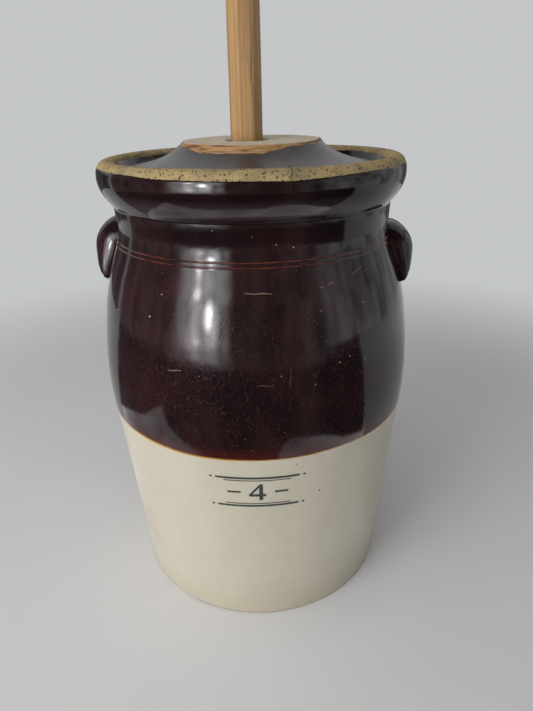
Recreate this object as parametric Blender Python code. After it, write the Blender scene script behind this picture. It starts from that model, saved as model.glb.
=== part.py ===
# Stoneware butter churn: a turned jar with two luted ears, a guide lid and a wooden cross dasher.
# Metres, +Z up. The origin is the middle of the jar's flat base, the ears lie along X, the front is -Y.

import math

import bmesh
import bpy
from mathutils import Matrix, Vector

# Gap that two pieces keep where the real ones touch
SEAT_GAP = 0.0003

# Jar, outside. JAR_HEIGHT and BELLY_RADIUS are the main sizes: an inset is how far a place lies
# inside the belly, and a drop is how far it lies below the place named before it
JAR_HEIGHT = 0.4010
BELLY_RADIUS = 0.1418
HEEL_ROUND = 0.0025
FOOT_INSET = 0.0168
LOW_HEIGHT = 0.0610
LOW_INSET = 0.0122
RISE_HEIGHT = 0.1430
RISE_INSET = 0.0054
RIM_HEIGHT = 0.0365
NECK_LENGTH = 0.0245
NECK_INSET = 0.0234
SLOPE_DROP = 0.0340
SLOPE_INSET = 0.0124
SHOULDER_DROP = 0.0300
SHOULDER_INSET = 0.0053
BELLY_DROP = 0.0610
GLAZE_LINE_HEIGHT = 0.1854

# Rolled rim
RIM_OVERHANG = 0.0108
RIM_BULGE_DROP = 0.0130
RIM_LAND = 0.0092
RIM_FLARE = 0.0070
RIM_CROWN = 0.0085

# Two lines cut round the shoulder while the clay was soft
LINE_DROP = 0.0028
LINE_SPACING = 0.0035
LINE_WIDTH = 0.0016
LINE_DEPTH = 0.0006

# Jar, inside
WALL = 0.0125
FLOOR = 0.0140
FLOOR_ROUND = 0.0180
MOUTH_SLOPE = 0.0062
MOUTH_DROP = 0.0020
MOUTH_DRAFT = 0.0043
SEAT_DROP = 0.0173
SEAT_WIDTH = 0.0095
BORE_ROUND = 0.0020
BORE_DEPTH = 0.0117

# Ears: hoods of clay, open below for the fingers, shaped by hand so that the two differ
EAR_RIGHT_ANGLE = math.radians(3.7)
EAR_RIGHT_HALF_SPAN = math.radians(12.9)
EAR_RIGHT_DROP = 0.0194
EAR_RIGHT_LIP_DROP = 0.0227
EAR_RIGHT_TIP_DROP = 0.0280
EAR_RIGHT_STAND = 0.0233
EAR_LEFT_ANGLE = math.radians(179.5)
EAR_LEFT_HALF_SPAN = math.radians(11.9)
EAR_LEFT_DROP = 0.0135
EAR_LEFT_LIP_DROP = 0.0236
EAR_LEFT_TIP_DROP = 0.0320
EAR_LEFT_STAND = 0.0269
EAR_TIP_LENGTH = 0.0160
EAR_ROUNDING = 0.0285
EAR_ARCH_POWER = 3.0
EAR_SIDE_POWER = 0.9
EAR_EDGE = 0.0012
EAR_CLAY = 0.0065
EAR_LEG_CLAY = 0.0100

# Lid
LID_PLAY = 0.0030
LID_HEIGHT = 0.0280
LID_TOP_RADIUS = 0.0590
LID_TOP_ROUND = 0.0020
FLANGE_THICKNESS = 0.0090
FLANGE_ROUND = 0.0035
COVE_FOOT_RUN = 0.0220
COVE_FOOT_RISE = 0.0033
COVE_HEAD_RUN = 0.0088
COVE_HEAD_RISE = 0.0092
LID_WALL = 0.0095
CEILING_SWEEP = 0.0065
LID_SEAT_WIDTH = 0.0130
HOLE_PLAY = 0.0047

# Dasher: a shaved staff that tapers above the lid, tenoned and wedged into a half-lapped cross
# with four pegs
DASHER_OFFSET = -0.0035
STAFF_WIDTH = 0.0266
STAFF_TOP_WIDTH = 0.0240
STAFF_TAPER_HEIGHT = 0.4100
STAFF_CORNER = 0.0033
STAFF_TURN = math.radians(-102.9)
STAFF_TOP_HEIGHT = 0.7900
STAFF_END_ROUND = 0.0050
TENON_RADIUS = 0.0090
TENON_RECESS = 0.0010
ARM_PLAY = 0.0100
ARM_WIDTH = 0.0420
ARM_THICKNESS = 0.0160
ARM_EDGE = 0.0015
PEG_RADIUS = 0.0026
PEG_SPACING = 0.0280
PEG_RECESS = 0.0004
WEDGE_THICKNESS = 0.0030
WEDGE_TIP = 0.0012
WEDGE_WIDTH = 0.0140
WEDGE_LENGTH = 0.0110
SLOT_OVERRUN = 0.0030

# How finely round shapes are divided
JAR_SEGMENTS = 48
CREAM_RINGS = 7
BROWN_RINGS = 9
NECK_RINGS = 6
INNER_RINGS = 12
HOLE_SEGMENTS = 24
TENON_SEGMENTS = 16
PEG_SEGMENTS = 12
EAR_COLUMNS = 20
EAR_ROWS = 10

# Worked out from the sizes above
NECK_TOP_HEIGHT = JAR_HEIGHT - RIM_HEIGHT
NECK_FOOT_HEIGHT = NECK_TOP_HEIGHT - NECK_LENGTH
SLOPE_HEIGHT = NECK_FOOT_HEIGHT - SLOPE_DROP
SHOULDER_HEIGHT = SLOPE_HEIGHT - SHOULDER_DROP
BELLY_HEIGHT = SHOULDER_HEIGHT - BELLY_DROP
NECK_RADIUS = BELLY_RADIUS - NECK_INSET
LINE_HEIGHT = NECK_FOOT_HEIGHT - LINE_DROP
RIM_BULGE_HEIGHT = JAR_HEIGHT - RIM_BULGE_DROP
RIM_RADIUS = NECK_RADIUS + RIM_OVERHANG
RIM_TOP_RADIUS = RIM_RADIUS - RIM_LAND
MOUTH_RADIUS = RIM_TOP_RADIUS - MOUTH_SLOPE
SEAT_HEIGHT = JAR_HEIGHT - SEAT_DROP
SEAT_RADIUS = MOUTH_RADIUS - MOUTH_DRAFT
BORE_RADIUS = SEAT_RADIUS - SEAT_WIDTH
BORE_BOTTOM_HEIGHT = SEAT_HEIGHT - BORE_DEPTH
EAR_RIGHT_TOP_HEIGHT = NECK_TOP_HEIGHT - EAR_RIGHT_DROP
EAR_RIGHT_LIP_HEIGHT = EAR_RIGHT_TOP_HEIGHT - EAR_RIGHT_LIP_DROP
EAR_LEFT_TOP_HEIGHT = NECK_TOP_HEIGHT - EAR_LEFT_DROP
EAR_LEFT_LIP_HEIGHT = EAR_LEFT_TOP_HEIGHT - EAR_LEFT_LIP_DROP
ARM_LENGTH = 2 * (BORE_RADIUS - ARM_PLAY)
DASHER_BOTTOM = FLOOR + SEAT_GAP
CROSS_TOP = DASHER_BOTTOM + ARM_THICKNESS
LID_BOTTOM = SEAT_HEIGHT + SEAT_GAP
FLANGE_RADIUS = SEAT_RADIUS - LID_PLAY
HOLE_RADIUS = STAFF_WIDTH / 2 + HOLE_PLAY


def clear_scene():
    for old in list(bpy.data.objects):
        bpy.data.objects.remove(old, do_unlink=True)


def make_material(name, colour, roughness):
    material = bpy.data.materials.new(name)
    material.use_nodes = True
    shader = material.node_tree.nodes["Principled BSDF"]
    shader.inputs["Base Color"].default_value = (*colour, 1.0)
    shader.inputs["Roughness"].default_value = roughness
    shader.inputs["Metallic"].default_value = 0.0
    material.diffuse_color = (*colour, 1.0)
    return material


def smooth_curve(points):
    # A function through (height, radius) pairs, whose slope at each pair is its neighbours' slope
    slopes = []
    for i in range(len(points)):
        before = points[max(i - 1, 0)]
        after = points[min(i + 1, len(points) - 1)]
        slopes.append((after[1] - before[1]) / (after[0] - before[0]))

    def radius_at(height):
        i = 0
        while i < len(points) - 2 and height > points[i + 1][0]:
            i += 1
        (low, start), (high, end) = points[i], points[i + 1]
        span = high - low
        t = min(max((height - low) / span, 0.0), 1.0)
        return (
            start * (1 + 2 * t) * (1 - t) ** 2
            + end * t * t * (3 - 2 * t)
            + slopes[i] * span * t * (1 - t) ** 2
            - slopes[i + 1] * span * t * t * (1 - t)
        )

    return radius_at


def bezier(p0, p1, p2, p3, steps):
    # Points (radius, height) after p0, up to p3
    points = []
    for i in range(1, steps + 1):
        t = i / steps
        weights = ((1 - t) ** 3, 3 * t * (1 - t) ** 2, 3 * t * t * (1 - t), t**3)
        points.append(tuple(sum(w * p[k] for w, p in zip(weights, (p0, p1, p2, p3))) for k in (0, 1)))
    return points


def arc(centre, radius, start, end, steps):
    # Points (radius, height) on a round edge, angles in degrees from outwards towards up
    points = []
    for i in range(steps + 1):
        angle = math.radians(start + (end - start) * i / steps)
        points.append((centre[0] + radius * math.cos(angle), centre[1] + radius * math.sin(angle)))
    return points


def add_object(name, mesh, materials, parent=None):
    item = bpy.data.objects.new(name, mesh)
    bpy.context.scene.collection.objects.link(item)
    for material in materials:
        mesh.materials.append(material)
    if parent is not None:
        item.parent = parent
    return item


def smooth_shaded(mesh, angle=40):
    mesh.shade_smooth()
    mesh.set_sharp_from_angle(angle=math.radians(angle))


def turned_mesh(name, outline, segments):
    # The outline runs from the axis below, up the outside, and back to the axis inside
    verts = []
    rings = []
    for radius, height in outline:
        if radius == 0:
            rings.append([len(verts)])
            verts.append((0, 0, height))
            continue
        ring = []
        for k in range(segments):
            angle = 2 * math.pi * k / segments
            ring.append(len(verts))
            verts.append((radius * math.cos(angle), radius * math.sin(angle), height))
        rings.append(ring)
    faces = []
    for lower, upper in zip(rings, rings[1:]):
        for k in range(segments):
            after = (k + 1) % segments
            if len(lower) == 1:
                faces.append((lower[0], upper[after], upper[k]))
            elif len(upper) == 1:
                faces.append((lower[k], lower[after], upper[0]))
            else:
                faces.append((lower[k], lower[after], upper[after], upper[k]))
    mesh = bpy.data.meshes.new(name)
    mesh.from_pydata(verts, [], faces)
    smooth_shaded(mesh)
    return mesh


def loft_mesh(name, rings):
    # Joins equal rings of points from the first to the last, and fills both ends
    count = len(rings[0])
    verts = [point for ring in rings for point in ring]
    faces = [tuple(reversed(range(count)))]
    for r in range(len(rings) - 1):
        for k in range(count):
            after = (k + 1) % count
            a, b = r * count, (r + 1) * count
            faces.append((a + k, a + after, b + after, b + k))
    faces.append(tuple(range((len(rings) - 1) * count, len(rings) * count)))
    mesh = bpy.data.meshes.new(name)
    mesh.from_pydata(verts, [], faces)
    return mesh


def box_mesh(name, size):
    mesh = bpy.data.meshes.new(name)
    shape = bmesh.new()
    bmesh.ops.create_cube(shape, size=1.0, matrix=Matrix.Diagonal((*size, 1.0)))
    shape.to_mesh(mesh)
    shape.free()
    return mesh


def rod_mesh(name, radius, length, segments):
    mesh = bpy.data.meshes.new(name)
    shape = bmesh.new()
    bmesh.ops.create_cone(
        shape, cap_ends=True, segments=segments, radius1=radius, radius2=radius, depth=length
    )
    shape.to_mesh(mesh)
    shape.free()
    return mesh


def cut_away(target, cutter):
    cutter.hide_render = True
    cutter.display_type = "WIRE"
    modifier = target.modifiers.new("cut_" + cutter.name, "BOOLEAN")
    modifier.operation = "DIFFERENCE"
    modifier.solver = "EXACT"
    modifier.object = cutter


# Jar

side_radius = smooth_curve(
    (
        (0.0, BELLY_RADIUS - FOOT_INSET),
        (LOW_HEIGHT, BELLY_RADIUS - LOW_INSET),
        (RISE_HEIGHT, BELLY_RADIUS - RISE_INSET),
        (BELLY_HEIGHT, BELLY_RADIUS),
        (SHOULDER_HEIGHT, BELLY_RADIUS - SHOULDER_INSET),
        (SLOPE_HEIGHT, BELLY_RADIUS - SLOPE_INSET),
        (NECK_FOOT_HEIGHT, NECK_RADIUS),
        (NECK_TOP_HEIGHT, NECK_RADIUS),
    )
)


def spread(low, high, steps):
    return [low + (high - low) * i / steps for i in range(steps)]


def groove(height):
    # The three points of one cut line, as (height, depth)
    return [(height - LINE_WIDTH / 2, 0.0), (height, LINE_DEPTH), (height + LINE_WIDTH / 2, 0.0)]


def jar_outside():
    foot = side_radius(HEEL_ROUND)
    lower_line = LINE_HEIGHT - LINE_SPACING
    heights = [(z, 0.0) for z in spread(HEEL_ROUND, GLAZE_LINE_HEIGHT, CREAM_RINGS)[1:]]
    heights += [(z, 0.0) for z in spread(GLAZE_LINE_HEIGHT, lower_line - LINE_WIDTH, BROWN_RINGS)]
    heights += groove(lower_line) + groove(LINE_HEIGHT)
    heights += [(z, 0.0) for z in spread(LINE_HEIGHT + LINE_SPACING / 2, NECK_TOP_HEIGHT, NECK_RINGS)]
    points = [(0.0, 0.0)]
    points += arc((foot - HEEL_ROUND, HEEL_ROUND), HEEL_ROUND, -90, 0, 3)
    points += [(side_radius(z) - depth, z) for z, depth in heights]
    return points


def jar_rim():
    neck = (NECK_RADIUS, NECK_TOP_HEIGHT)
    bulge = (RIM_RADIUS, RIM_BULGE_HEIGHT)
    top = (RIM_TOP_RADIUS, JAR_HEIGHT)
    under_neck = (NECK_RADIUS, NECK_TOP_HEIGHT + RIM_FLARE)
    under_bulge = (RIM_RADIUS, RIM_BULGE_HEIGHT - 2 * RIM_FLARE)
    over_bulge = (RIM_RADIUS, RIM_BULGE_HEIGHT + RIM_CROWN)
    before_top = (RIM_RADIUS - RIM_CROWN / 3, JAR_HEIGHT)
    points = [neck]
    points += bezier(neck, under_neck, under_bulge, bulge, 6)
    points += bezier(bulge, over_bulge, before_top, top, 5)
    points.append((MOUTH_RADIUS, JAR_HEIGHT - MOUTH_DROP))
    return points


def jar_inside():
    points = [(SEAT_RADIUS, SEAT_HEIGHT)]
    points += arc((BORE_RADIUS + BORE_ROUND, SEAT_HEIGHT - BORE_ROUND), BORE_ROUND, 90, 180, 3)
    inner_neck = (NECK_RADIUS - WALL, NECK_FOOT_HEIGHT)
    half = (BORE_BOTTOM_HEIGHT - NECK_FOOT_HEIGHT) / 2
    bore_end = (BORE_RADIUS, BORE_BOTTOM_HEIGHT)
    points.append(bore_end)
    points += bezier(
        bore_end,
        (bore_end[0], bore_end[1] - half),
        (inner_neck[0], inner_neck[1] + half),
        inner_neck,
        4,
    )
    round_top = FLOOR + FLOOR_ROUND
    heights = spread(NECK_FOOT_HEIGHT, round_top, INNER_RINGS)[1:]
    points += [(side_radius(z) - WALL, z) for z in heights]
    round_radius = side_radius(round_top) - WALL - FLOOR_ROUND
    points += arc((round_radius, round_top), FLOOR_ROUND, 0, -90, 5)
    points.append((0.0, FLOOR))
    return points


def make_jar(brown_glaze, cream_glaze):
    outline = jar_outside() + jar_rim() + jar_inside()
    mesh = turned_mesh("churn_jar", outline, JAR_SEGMENTS)
    jar = add_object("churn_jar", mesh, (brown_glaze, cream_glaze))
    for face in mesh.polygons:
        middle = face.center
        outside = middle.xy.length > side_radius(middle.z) - WALL / 2 or middle.z < FLOOR / 2
        if outside and middle.z < GLAZE_LINE_HEIGHT:
            face.material_index = 1
    return jar


# Ears


def arch_share(across):
    # 1 in the middle of the ear, 0 at its sides
    return max(1 - abs(across) ** EAR_ARCH_POWER, 0.0) ** (1 / EAR_ARCH_POWER)


def ear_grid(half_span, top, lip, tip, radius_at):
    # Rows of points from the top edge to the lip, as (angle, height, radius)
    rows = []
    for j in range(EAR_ROWS + 1):
        row = []
        for i in range(EAR_COLUMNS + 1):
            across = -math.cos(math.pi * i / EAR_COLUMNS)
            fall = arch_share(across)
            high = tip + EAR_TIP_LENGTH + (top - tip - EAR_TIP_LENGTH) * fall
            low = tip + (lip - tip) * fall
            height = high + (low - high) * j / EAR_ROWS
            row.append((across * half_span, height, radius_at(across, height, high)))
        rows.append(row)
    return rows


def hood_radius(face, across, height, high):
    inside = side_radius(height) + SEAT_GAP + EAR_EDGE
    share = min((high - height) / EAR_ROUNDING, 1.0)
    rise = math.sqrt(1 - (1 - share) ** 2)
    side = arch_share(across) ** EAR_SIDE_POWER
    return inside + max(face - inside, 0.0) * rise * side


def ear_back_radius(height):
    return side_radius(height) + SEAT_GAP


def hollow_back_radius(height):
    return side_radius(height) - EAR_CLAY


def shell_mesh(name, front, back_radius, middle_angle):
    # A closed slab between the front points and the same places at the back radius
    width = len(front[0])
    verts = []
    for row in front:
        for angle, height, radius in row:
            turn = middle_angle + angle
            verts.append((radius * math.cos(turn), radius * math.sin(turn), height))
    for row in front:
        for angle, height, _radius in row:
            turn = middle_angle + angle
            back = back_radius(height)
            verts.append((back * math.cos(turn), back * math.sin(turn), height))
    behind = len(front) * width
    faces = []
    for j in range(len(front) - 1):
        for i in range(width - 1):
            a = j * width + i
            faces.append((a, a + width, a + width + 1, a + 1))
            faces.append((behind + a + 1, behind + a + width + 1, behind + a + width, behind + a))
    rim = list(range(width))
    rim += [(j + 1) * width + width - 1 for j in range(len(front) - 1)]
    rim += [behind - 2 - i for i in range(width - 1)]
    rim += [j * width for j in range(len(front) - 2, 0, -1)]
    for k, start in enumerate(rim):
        end = rim[(k + 1) % len(rim)]
        faces.append((start, end, behind + end, behind + start))
    mesh = bpy.data.meshes.new(name)
    mesh.from_pydata(verts, [], faces)
    smooth_shaded(mesh, 50)
    return mesh


def make_ear(name, middle_angle, half_span, top, lip, tip, face, glaze):
    def hood_at(across, height, high):
        return hood_radius(face, across, height, high)

    hood = ear_grid(half_span, top, lip, tip, hood_at)
    ear = add_object(name, shell_mesh(name, hood, ear_back_radius, middle_angle), (glaze,))
    hollow_half_span = half_span - EAR_LEG_CLAY / side_radius(lip)

    def hollow_at(across, height, high):
        across_hood = across * hollow_half_span / half_span
        return hood_radius(face, across_hood, height, high + EAR_CLAY) - EAR_CLAY

    hollow = ear_grid(
        hollow_half_span, top - EAR_CLAY, tip - EAR_CLAY, tip - 2 * EAR_CLAY, hollow_at
    )
    hollow_name = name + "_hollow"
    hollow_mesh = shell_mesh(hollow_name, hollow, hollow_back_radius, middle_angle)
    cut_away(ear, add_object(hollow_name, hollow_mesh, ()))
    return ear


# Lid


def lid_outline():
    base = LID_BOTTOM
    top = base + LID_HEIGHT
    shoulder = base + FLANGE_THICKNESS
    corner = LID_TOP_RADIUS - LID_TOP_ROUND
    round_side = FLANGE_RADIUS - FLANGE_ROUND
    seat_inner = FLANGE_RADIUS - LID_SEAT_WIDTH
    ceiling = top - LID_WALL
    points = [(0.0, ceiling)]
    ceiling_edge = (LID_TOP_RADIUS - LID_WALL, ceiling)
    seat_edge = (seat_inner, base)
    points.append(ceiling_edge)
    points += bezier(
        ceiling_edge,
        (ceiling_edge[0] + LID_WALL, ceiling - CEILING_SWEEP),
        (seat_inner - LID_WALL, base + CEILING_SWEEP),
        seat_edge,
        5,
    )
    points += arc((round_side, base + FLANGE_ROUND / 2), FLANGE_ROUND / 2, -90, -30, 2)
    points += arc((round_side, shoulder - FLANGE_ROUND), FLANGE_ROUND, 0, 80, 4)
    cove_top = (LID_TOP_RADIUS + LID_TOP_ROUND / 2, top - LID_TOP_ROUND)
    cove_end = points[-1]
    points += bezier(
        cove_end,
        (cove_end[0] - COVE_FOOT_RUN, cove_end[1] + COVE_FOOT_RISE),
        (cove_top[0] + COVE_HEAD_RUN, cove_top[1] - COVE_HEAD_RISE),
        cove_top,
        8,
    )
    points += arc((corner, top - LID_TOP_ROUND), LID_TOP_ROUND, 30, 90, 2)
    points.append((0.0, top))
    return points


def make_lid(glaze, lid_axis):
    mesh = turned_mesh("churn_lid", lid_outline(), JAR_SEGMENTS)
    lid = add_object("churn_lid", mesh, (glaze,), lid_axis)
    mesh.transform(Matrix.Translation(-lid_axis.location))
    hole = add_object("lid_hole", rod_mesh("lid_hole", HOLE_RADIUS, 3 * LID_HEIGHT, HOLE_SEGMENTS), ())
    hole.location = (DASHER_OFFSET, 0, LID_BOTTOM + LID_HEIGHT)
    cut_away(lid, hole)
    return lid


# Dasher


def staff_ring(width, height):
    # A shaved octagon with its corners taken off, two points to each corner
    apothem = width / 2
    half_side = apothem * math.tan(math.pi / 8)
    flat = half_side - STAFF_CORNER / 2 * width / STAFF_WIDTH
    points = []
    for side in range(8):
        middle = STAFF_TURN + math.radians(22.5 + 45 * side)
        for shift in (-flat, flat):
            across = Vector((-math.sin(middle), math.cos(middle), 0)) * shift
            outward = Vector((math.cos(middle), math.sin(middle), 0)) * apothem
            points.append(tuple(across + outward + Vector((0, 0, height))))
    return points


def tenon_ring(height):
    points = []
    for side in range(TENON_SEGMENTS):
        angle = STAFF_TURN + 2 * math.pi * (side + 0.5) / TENON_SEGMENTS
        points.append((TENON_RADIUS * math.cos(angle), TENON_RADIUS * math.sin(angle), height))
    return points


def wedge_mesh(name, grow, overrun):
    # Thick end below, thin end up in the tenon; grow adds the gap, overrun opens the slot below
    half_width = WEDGE_WIDTH / 2 + grow
    lower = WEDGE_THICKNESS / 2 + grow
    upper = WEDGE_TIP / 2 + grow
    rings = []
    for half, height in ((lower, -overrun), (upper, WEDGE_LENGTH + grow)):
        rings.append(
            [
                (-half, -half_width, height),
                (half, -half_width, height),
                (half, half_width, height),
                (-half, half_width, height),
            ]
        )
    return loft_mesh(name, rings)


def make_staff(wood, dasher):
    tenon_bottom = TENON_RECESS
    shoulder = CROSS_TOP + SEAT_GAP - DASHER_BOTTOM
    top = STAFF_TOP_HEIGHT - DASHER_BOTTOM
    rings = [tenon_ring(tenon_bottom), tenon_ring(shoulder)]
    rings.append(staff_ring(STAFF_WIDTH, shoulder))
    rings.append(staff_ring(STAFF_WIDTH, STAFF_TAPER_HEIGHT - DASHER_BOTTOM))
    rings.append(staff_ring(STAFF_TOP_WIDTH, top - STAFF_END_ROUND))
    for i in range(1, 5):
        angle = math.pi / 2 * i / 4
        narrower = STAFF_TOP_WIDTH - 2 * STAFF_END_ROUND * (1 - math.cos(angle))
        rings.append(staff_ring(narrower, top - STAFF_END_ROUND * (1 - math.sin(angle))))
    staff = add_object("dasher_staff", loft_mesh("dasher_staff", rings), (wood,), dasher)
    slot = add_object("wedge_slot", wedge_mesh("wedge_slot", SEAT_GAP, SLOT_OVERRUN), (), dasher)
    slot.location.z = tenon_bottom
    cut_away(staff, slot)
    return staff


def peg_places():
    half = PEG_SPACING / 2
    return [(x, y) for x in (-half, half) for y in (-half, half)]


def make_arm(name, along_y, lap_above, wood, dasher):
    size = (ARM_WIDTH, ARM_LENGTH) if along_y else (ARM_LENGTH, ARM_WIDTH)
    arm = add_object(name, box_mesh(name, (*size, ARM_THICKNESS)), (wood,), dasher)
    arm.location.z = ARM_THICKNESS / 2
    edges = arm.modifiers.new("soft_edges", "BEVEL")
    edges.width = ARM_EDGE
    edges.segments = 1
    lap_width = ARM_WIDTH + 2 * SEAT_GAP
    lap_size = (3 * ARM_WIDTH, lap_width) if along_y else (lap_width, 3 * ARM_WIDTH)
    lap = add_object(name + "_lap", box_mesh(name + "_lap", (*lap_size, ARM_THICKNESS)), (), dasher)
    lap.location.z = ARM_THICKNESS - SEAT_GAP / 2 if lap_above else SEAT_GAP / 2
    cut_away(arm, lap)
    hole_mesh = rod_mesh("tenon_hole", TENON_RADIUS + SEAT_GAP, 3 * ARM_THICKNESS, HOLE_SEGMENTS)
    cut_away(arm, add_object(name + "_tenon_hole", hole_mesh, (), dasher))
    for i, (x, y) in enumerate(peg_places(), 1):
        peg_mesh = rod_mesh("peg_hole", PEG_RADIUS + SEAT_GAP, 3 * ARM_THICKNESS, PEG_SEGMENTS)
        hole = add_object(f"{name}_peg_hole_{i}", peg_mesh, (), dasher)
        hole.location = (x, y, 0)
        cut_away(arm, hole)
    return arm


def make_pegs(wood, dasher):
    length = ARM_THICKNESS - 2 * PEG_RECESS
    for i, (x, y) in enumerate(peg_places(), 1):
        name = f"cross_peg_{i}"
        peg = add_object(name, rod_mesh(name, PEG_RADIUS, length, PEG_SEGMENTS), (wood,), dasher)
        peg.location = (x, y, ARM_THICKNESS / 2)


def make_dasher(staff_wood, cross_wood, peg_wood):
    dasher = bpy.data.objects.new("dasher_axis", None)
    bpy.context.scene.collection.objects.link(dasher)
    dasher.location = (DASHER_OFFSET, 0, DASHER_BOTTOM)
    make_staff(staff_wood, dasher)
    make_arm("cross_arm_lower", False, True, cross_wood, dasher)
    make_arm("cross_arm_upper", True, False, cross_wood, dasher)
    make_pegs(peg_wood, dasher)
    wedge = add_object("tenon_wedge", wedge_mesh("tenon_wedge", 0.0, 0.0), (peg_wood,), dasher)
    wedge.location.z = TENON_RECESS


def main():
    clear_scene()
    brown_glaze = make_material("brown_slip_glaze", (0.017, 0.0075, 0.0065), 0.12)
    cream_glaze = make_material("cream_glaze", (0.56, 0.52, 0.40), 0.30)
    staff_wood = make_material("ash_staff", (0.56, 0.34, 0.15), 0.55)
    cross_wood = make_material("maple_cross", (0.47, 0.31, 0.16), 0.60)
    peg_wood = make_material("oak_pegs", (0.33, 0.19, 0.09), 0.60)
    make_jar(brown_glaze, cream_glaze)
    make_ear(
        "ear_right",
        EAR_RIGHT_ANGLE,
        EAR_RIGHT_HALF_SPAN,
        EAR_RIGHT_TOP_HEIGHT,
        EAR_RIGHT_LIP_HEIGHT,
        EAR_RIGHT_LIP_HEIGHT - EAR_RIGHT_TIP_DROP,
        NECK_RADIUS + EAR_RIGHT_STAND,
        brown_glaze,
    )
    make_ear(
        "ear_left",
        EAR_LEFT_ANGLE,
        EAR_LEFT_HALF_SPAN,
        EAR_LEFT_TOP_HEIGHT,
        EAR_LEFT_LIP_HEIGHT,
        EAR_LEFT_LIP_HEIGHT - EAR_LEFT_TIP_DROP,
        NECK_RADIUS + EAR_LEFT_STAND,
        brown_glaze,
    )
    lid_axis = bpy.data.objects.new("lid_axis", None)
    bpy.context.scene.collection.objects.link(lid_axis)
    lid_axis.location = (0, 0, LID_BOTTOM)
    make_lid(brown_glaze, lid_axis)
    make_dasher(staff_wood, cross_wood, peg_wood)


main()
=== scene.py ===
import math

import bmesh
import bpy
import numpy as np
from mathutils import Matrix, Vector


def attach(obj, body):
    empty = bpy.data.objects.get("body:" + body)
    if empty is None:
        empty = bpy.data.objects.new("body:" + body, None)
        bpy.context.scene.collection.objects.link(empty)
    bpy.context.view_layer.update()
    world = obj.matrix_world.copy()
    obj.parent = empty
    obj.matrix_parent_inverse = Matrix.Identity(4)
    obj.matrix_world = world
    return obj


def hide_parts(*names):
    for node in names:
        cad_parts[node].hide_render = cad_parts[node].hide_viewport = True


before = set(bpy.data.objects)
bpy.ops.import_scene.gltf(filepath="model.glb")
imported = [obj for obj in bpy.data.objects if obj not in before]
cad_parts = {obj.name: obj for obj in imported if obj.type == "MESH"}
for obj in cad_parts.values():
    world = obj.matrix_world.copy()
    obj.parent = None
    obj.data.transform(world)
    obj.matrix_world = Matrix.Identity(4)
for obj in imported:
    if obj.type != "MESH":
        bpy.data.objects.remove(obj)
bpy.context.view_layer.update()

mm = 0.001


# Small tools

def hexColour(code):  # sRGB hex to the linear values that shaders take
    parts = [int(code[i:i + 2], 16) / 255 for i in (1, 3, 5)]
    return tuple(p / 12.92 if p <= 0.04045 else ((p + 0.055) / 1.055) ** 2.4 for p in parts) + (1.0,)


def addNode(tree, kind, settings=(), links=()):  # one node, its settings, and what feeds it
    made = tree.nodes.new("ShaderNode" + kind)
    for key, value in dict(settings).items():
        if isinstance(key, str) and hasattr(made, key):
            setattr(made, key, value)
        else:
            made.inputs[key].default_value = value
    for key, source in dict(links).items():
        socket = source.outputs[0] if hasattr(source, "outputs") else source
        tree.links.new(socket, made.inputs[key])
    return made


def feed(tree, socket, given):  # given is a number, a hex colour, a node or a node's output
    if isinstance(given, (int, float)):
        socket.default_value = given
    elif isinstance(given, str):
        socket.default_value = hexColour(given)
    else:
        tree.links.new(given.outputs[0] if hasattr(given, "outputs") else given, socket)


def remap(tree, value, low=0.0, high=1.0, start=0.0, end=1.0, smooth=False):
    # Takes low...high to start...end and stops there
    made = addNode(
        tree, "MapRange", {"interpolation_type": "SMOOTHSTEP" if smooth else "LINEAR"}, {"Value": value}
    )
    for name, given in (("From Min", low), ("From Max", high), ("To Min", start), ("To Max", end)):
        feed(tree, made.inputs[name], given)
    return made


def blend(tree, share, under, over):
    made = addNode(tree, "MixRGB", {}, {"Fac": share})
    feed(tree, made.inputs["Color1"], under)
    feed(tree, made.inputs["Color2"], over)
    return made


def wash(tree, under, over, value, *span, **more):  # over shows by the remapped value
    return blend(tree, remap(tree, value, *span, **more), under, over)


def combine(tree, operation, *given):
    made = addNode(tree, "Math", {"operation": operation})
    for i, value in enumerate(given):
        feed(tree, made.inputs[i], value)
    return made


def attribute(tree, name):
    return addNode(tree, "Attribute", {"attribute_name": name}).outputs["Fac"]


def noise(tree, place, size, detail=2.0):
    return addNode(tree, "TexNoise", {"Scale": 1 / size, "Detail": detail}, {"Vector": place})


def dots(tree, place, spacing, size, picked, most, full=1.0):
    # Share of a dot in each cell: size is its full and outer radius in cells, picked is which cells have one
    cells = addNode(tree, "TexVoronoi", {"Scale": 1 / spacing}, {"Vector": place})
    dot = remap(tree, cells.outputs["Distance"], size[0], size[1], full, 0.0)
    pick = remap(tree, cells.outputs["Color"], picked[0], picked[1], 0.0, most)
    return combine(tree, "MULTIPLY", dot, pick)


def newMaterial(name):  # with its nodes, and places in the frame
    made = bpy.data.materials.new(name)
    made.use_nodes = True
    tree = made.node_tree
    tree.nodes.clear()
    return made, tree, addNode(tree, "TexCoord").outputs["Object"]


def finishMaterial(tree, colour, roughness, height):  # height is in millimetres
    bump = addNode(tree, "Bump", {"Strength": 1.0, "Distance": mm}, {"Height": height})
    shader = addNode(
        tree, "BsdfPrincipled", {"IOR": 1.5}, {"Base Color": colour, "Roughness": roughness, "Normal": bump}
    )
    addNode(tree, "OutputMaterial", {}, {"Surface": shader})


def smoothStep(value, low, high):
    t = np.clip((value - low) / (high - low), 0.0, 1.0)
    return t * t * (3 - 2 * t)


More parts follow.
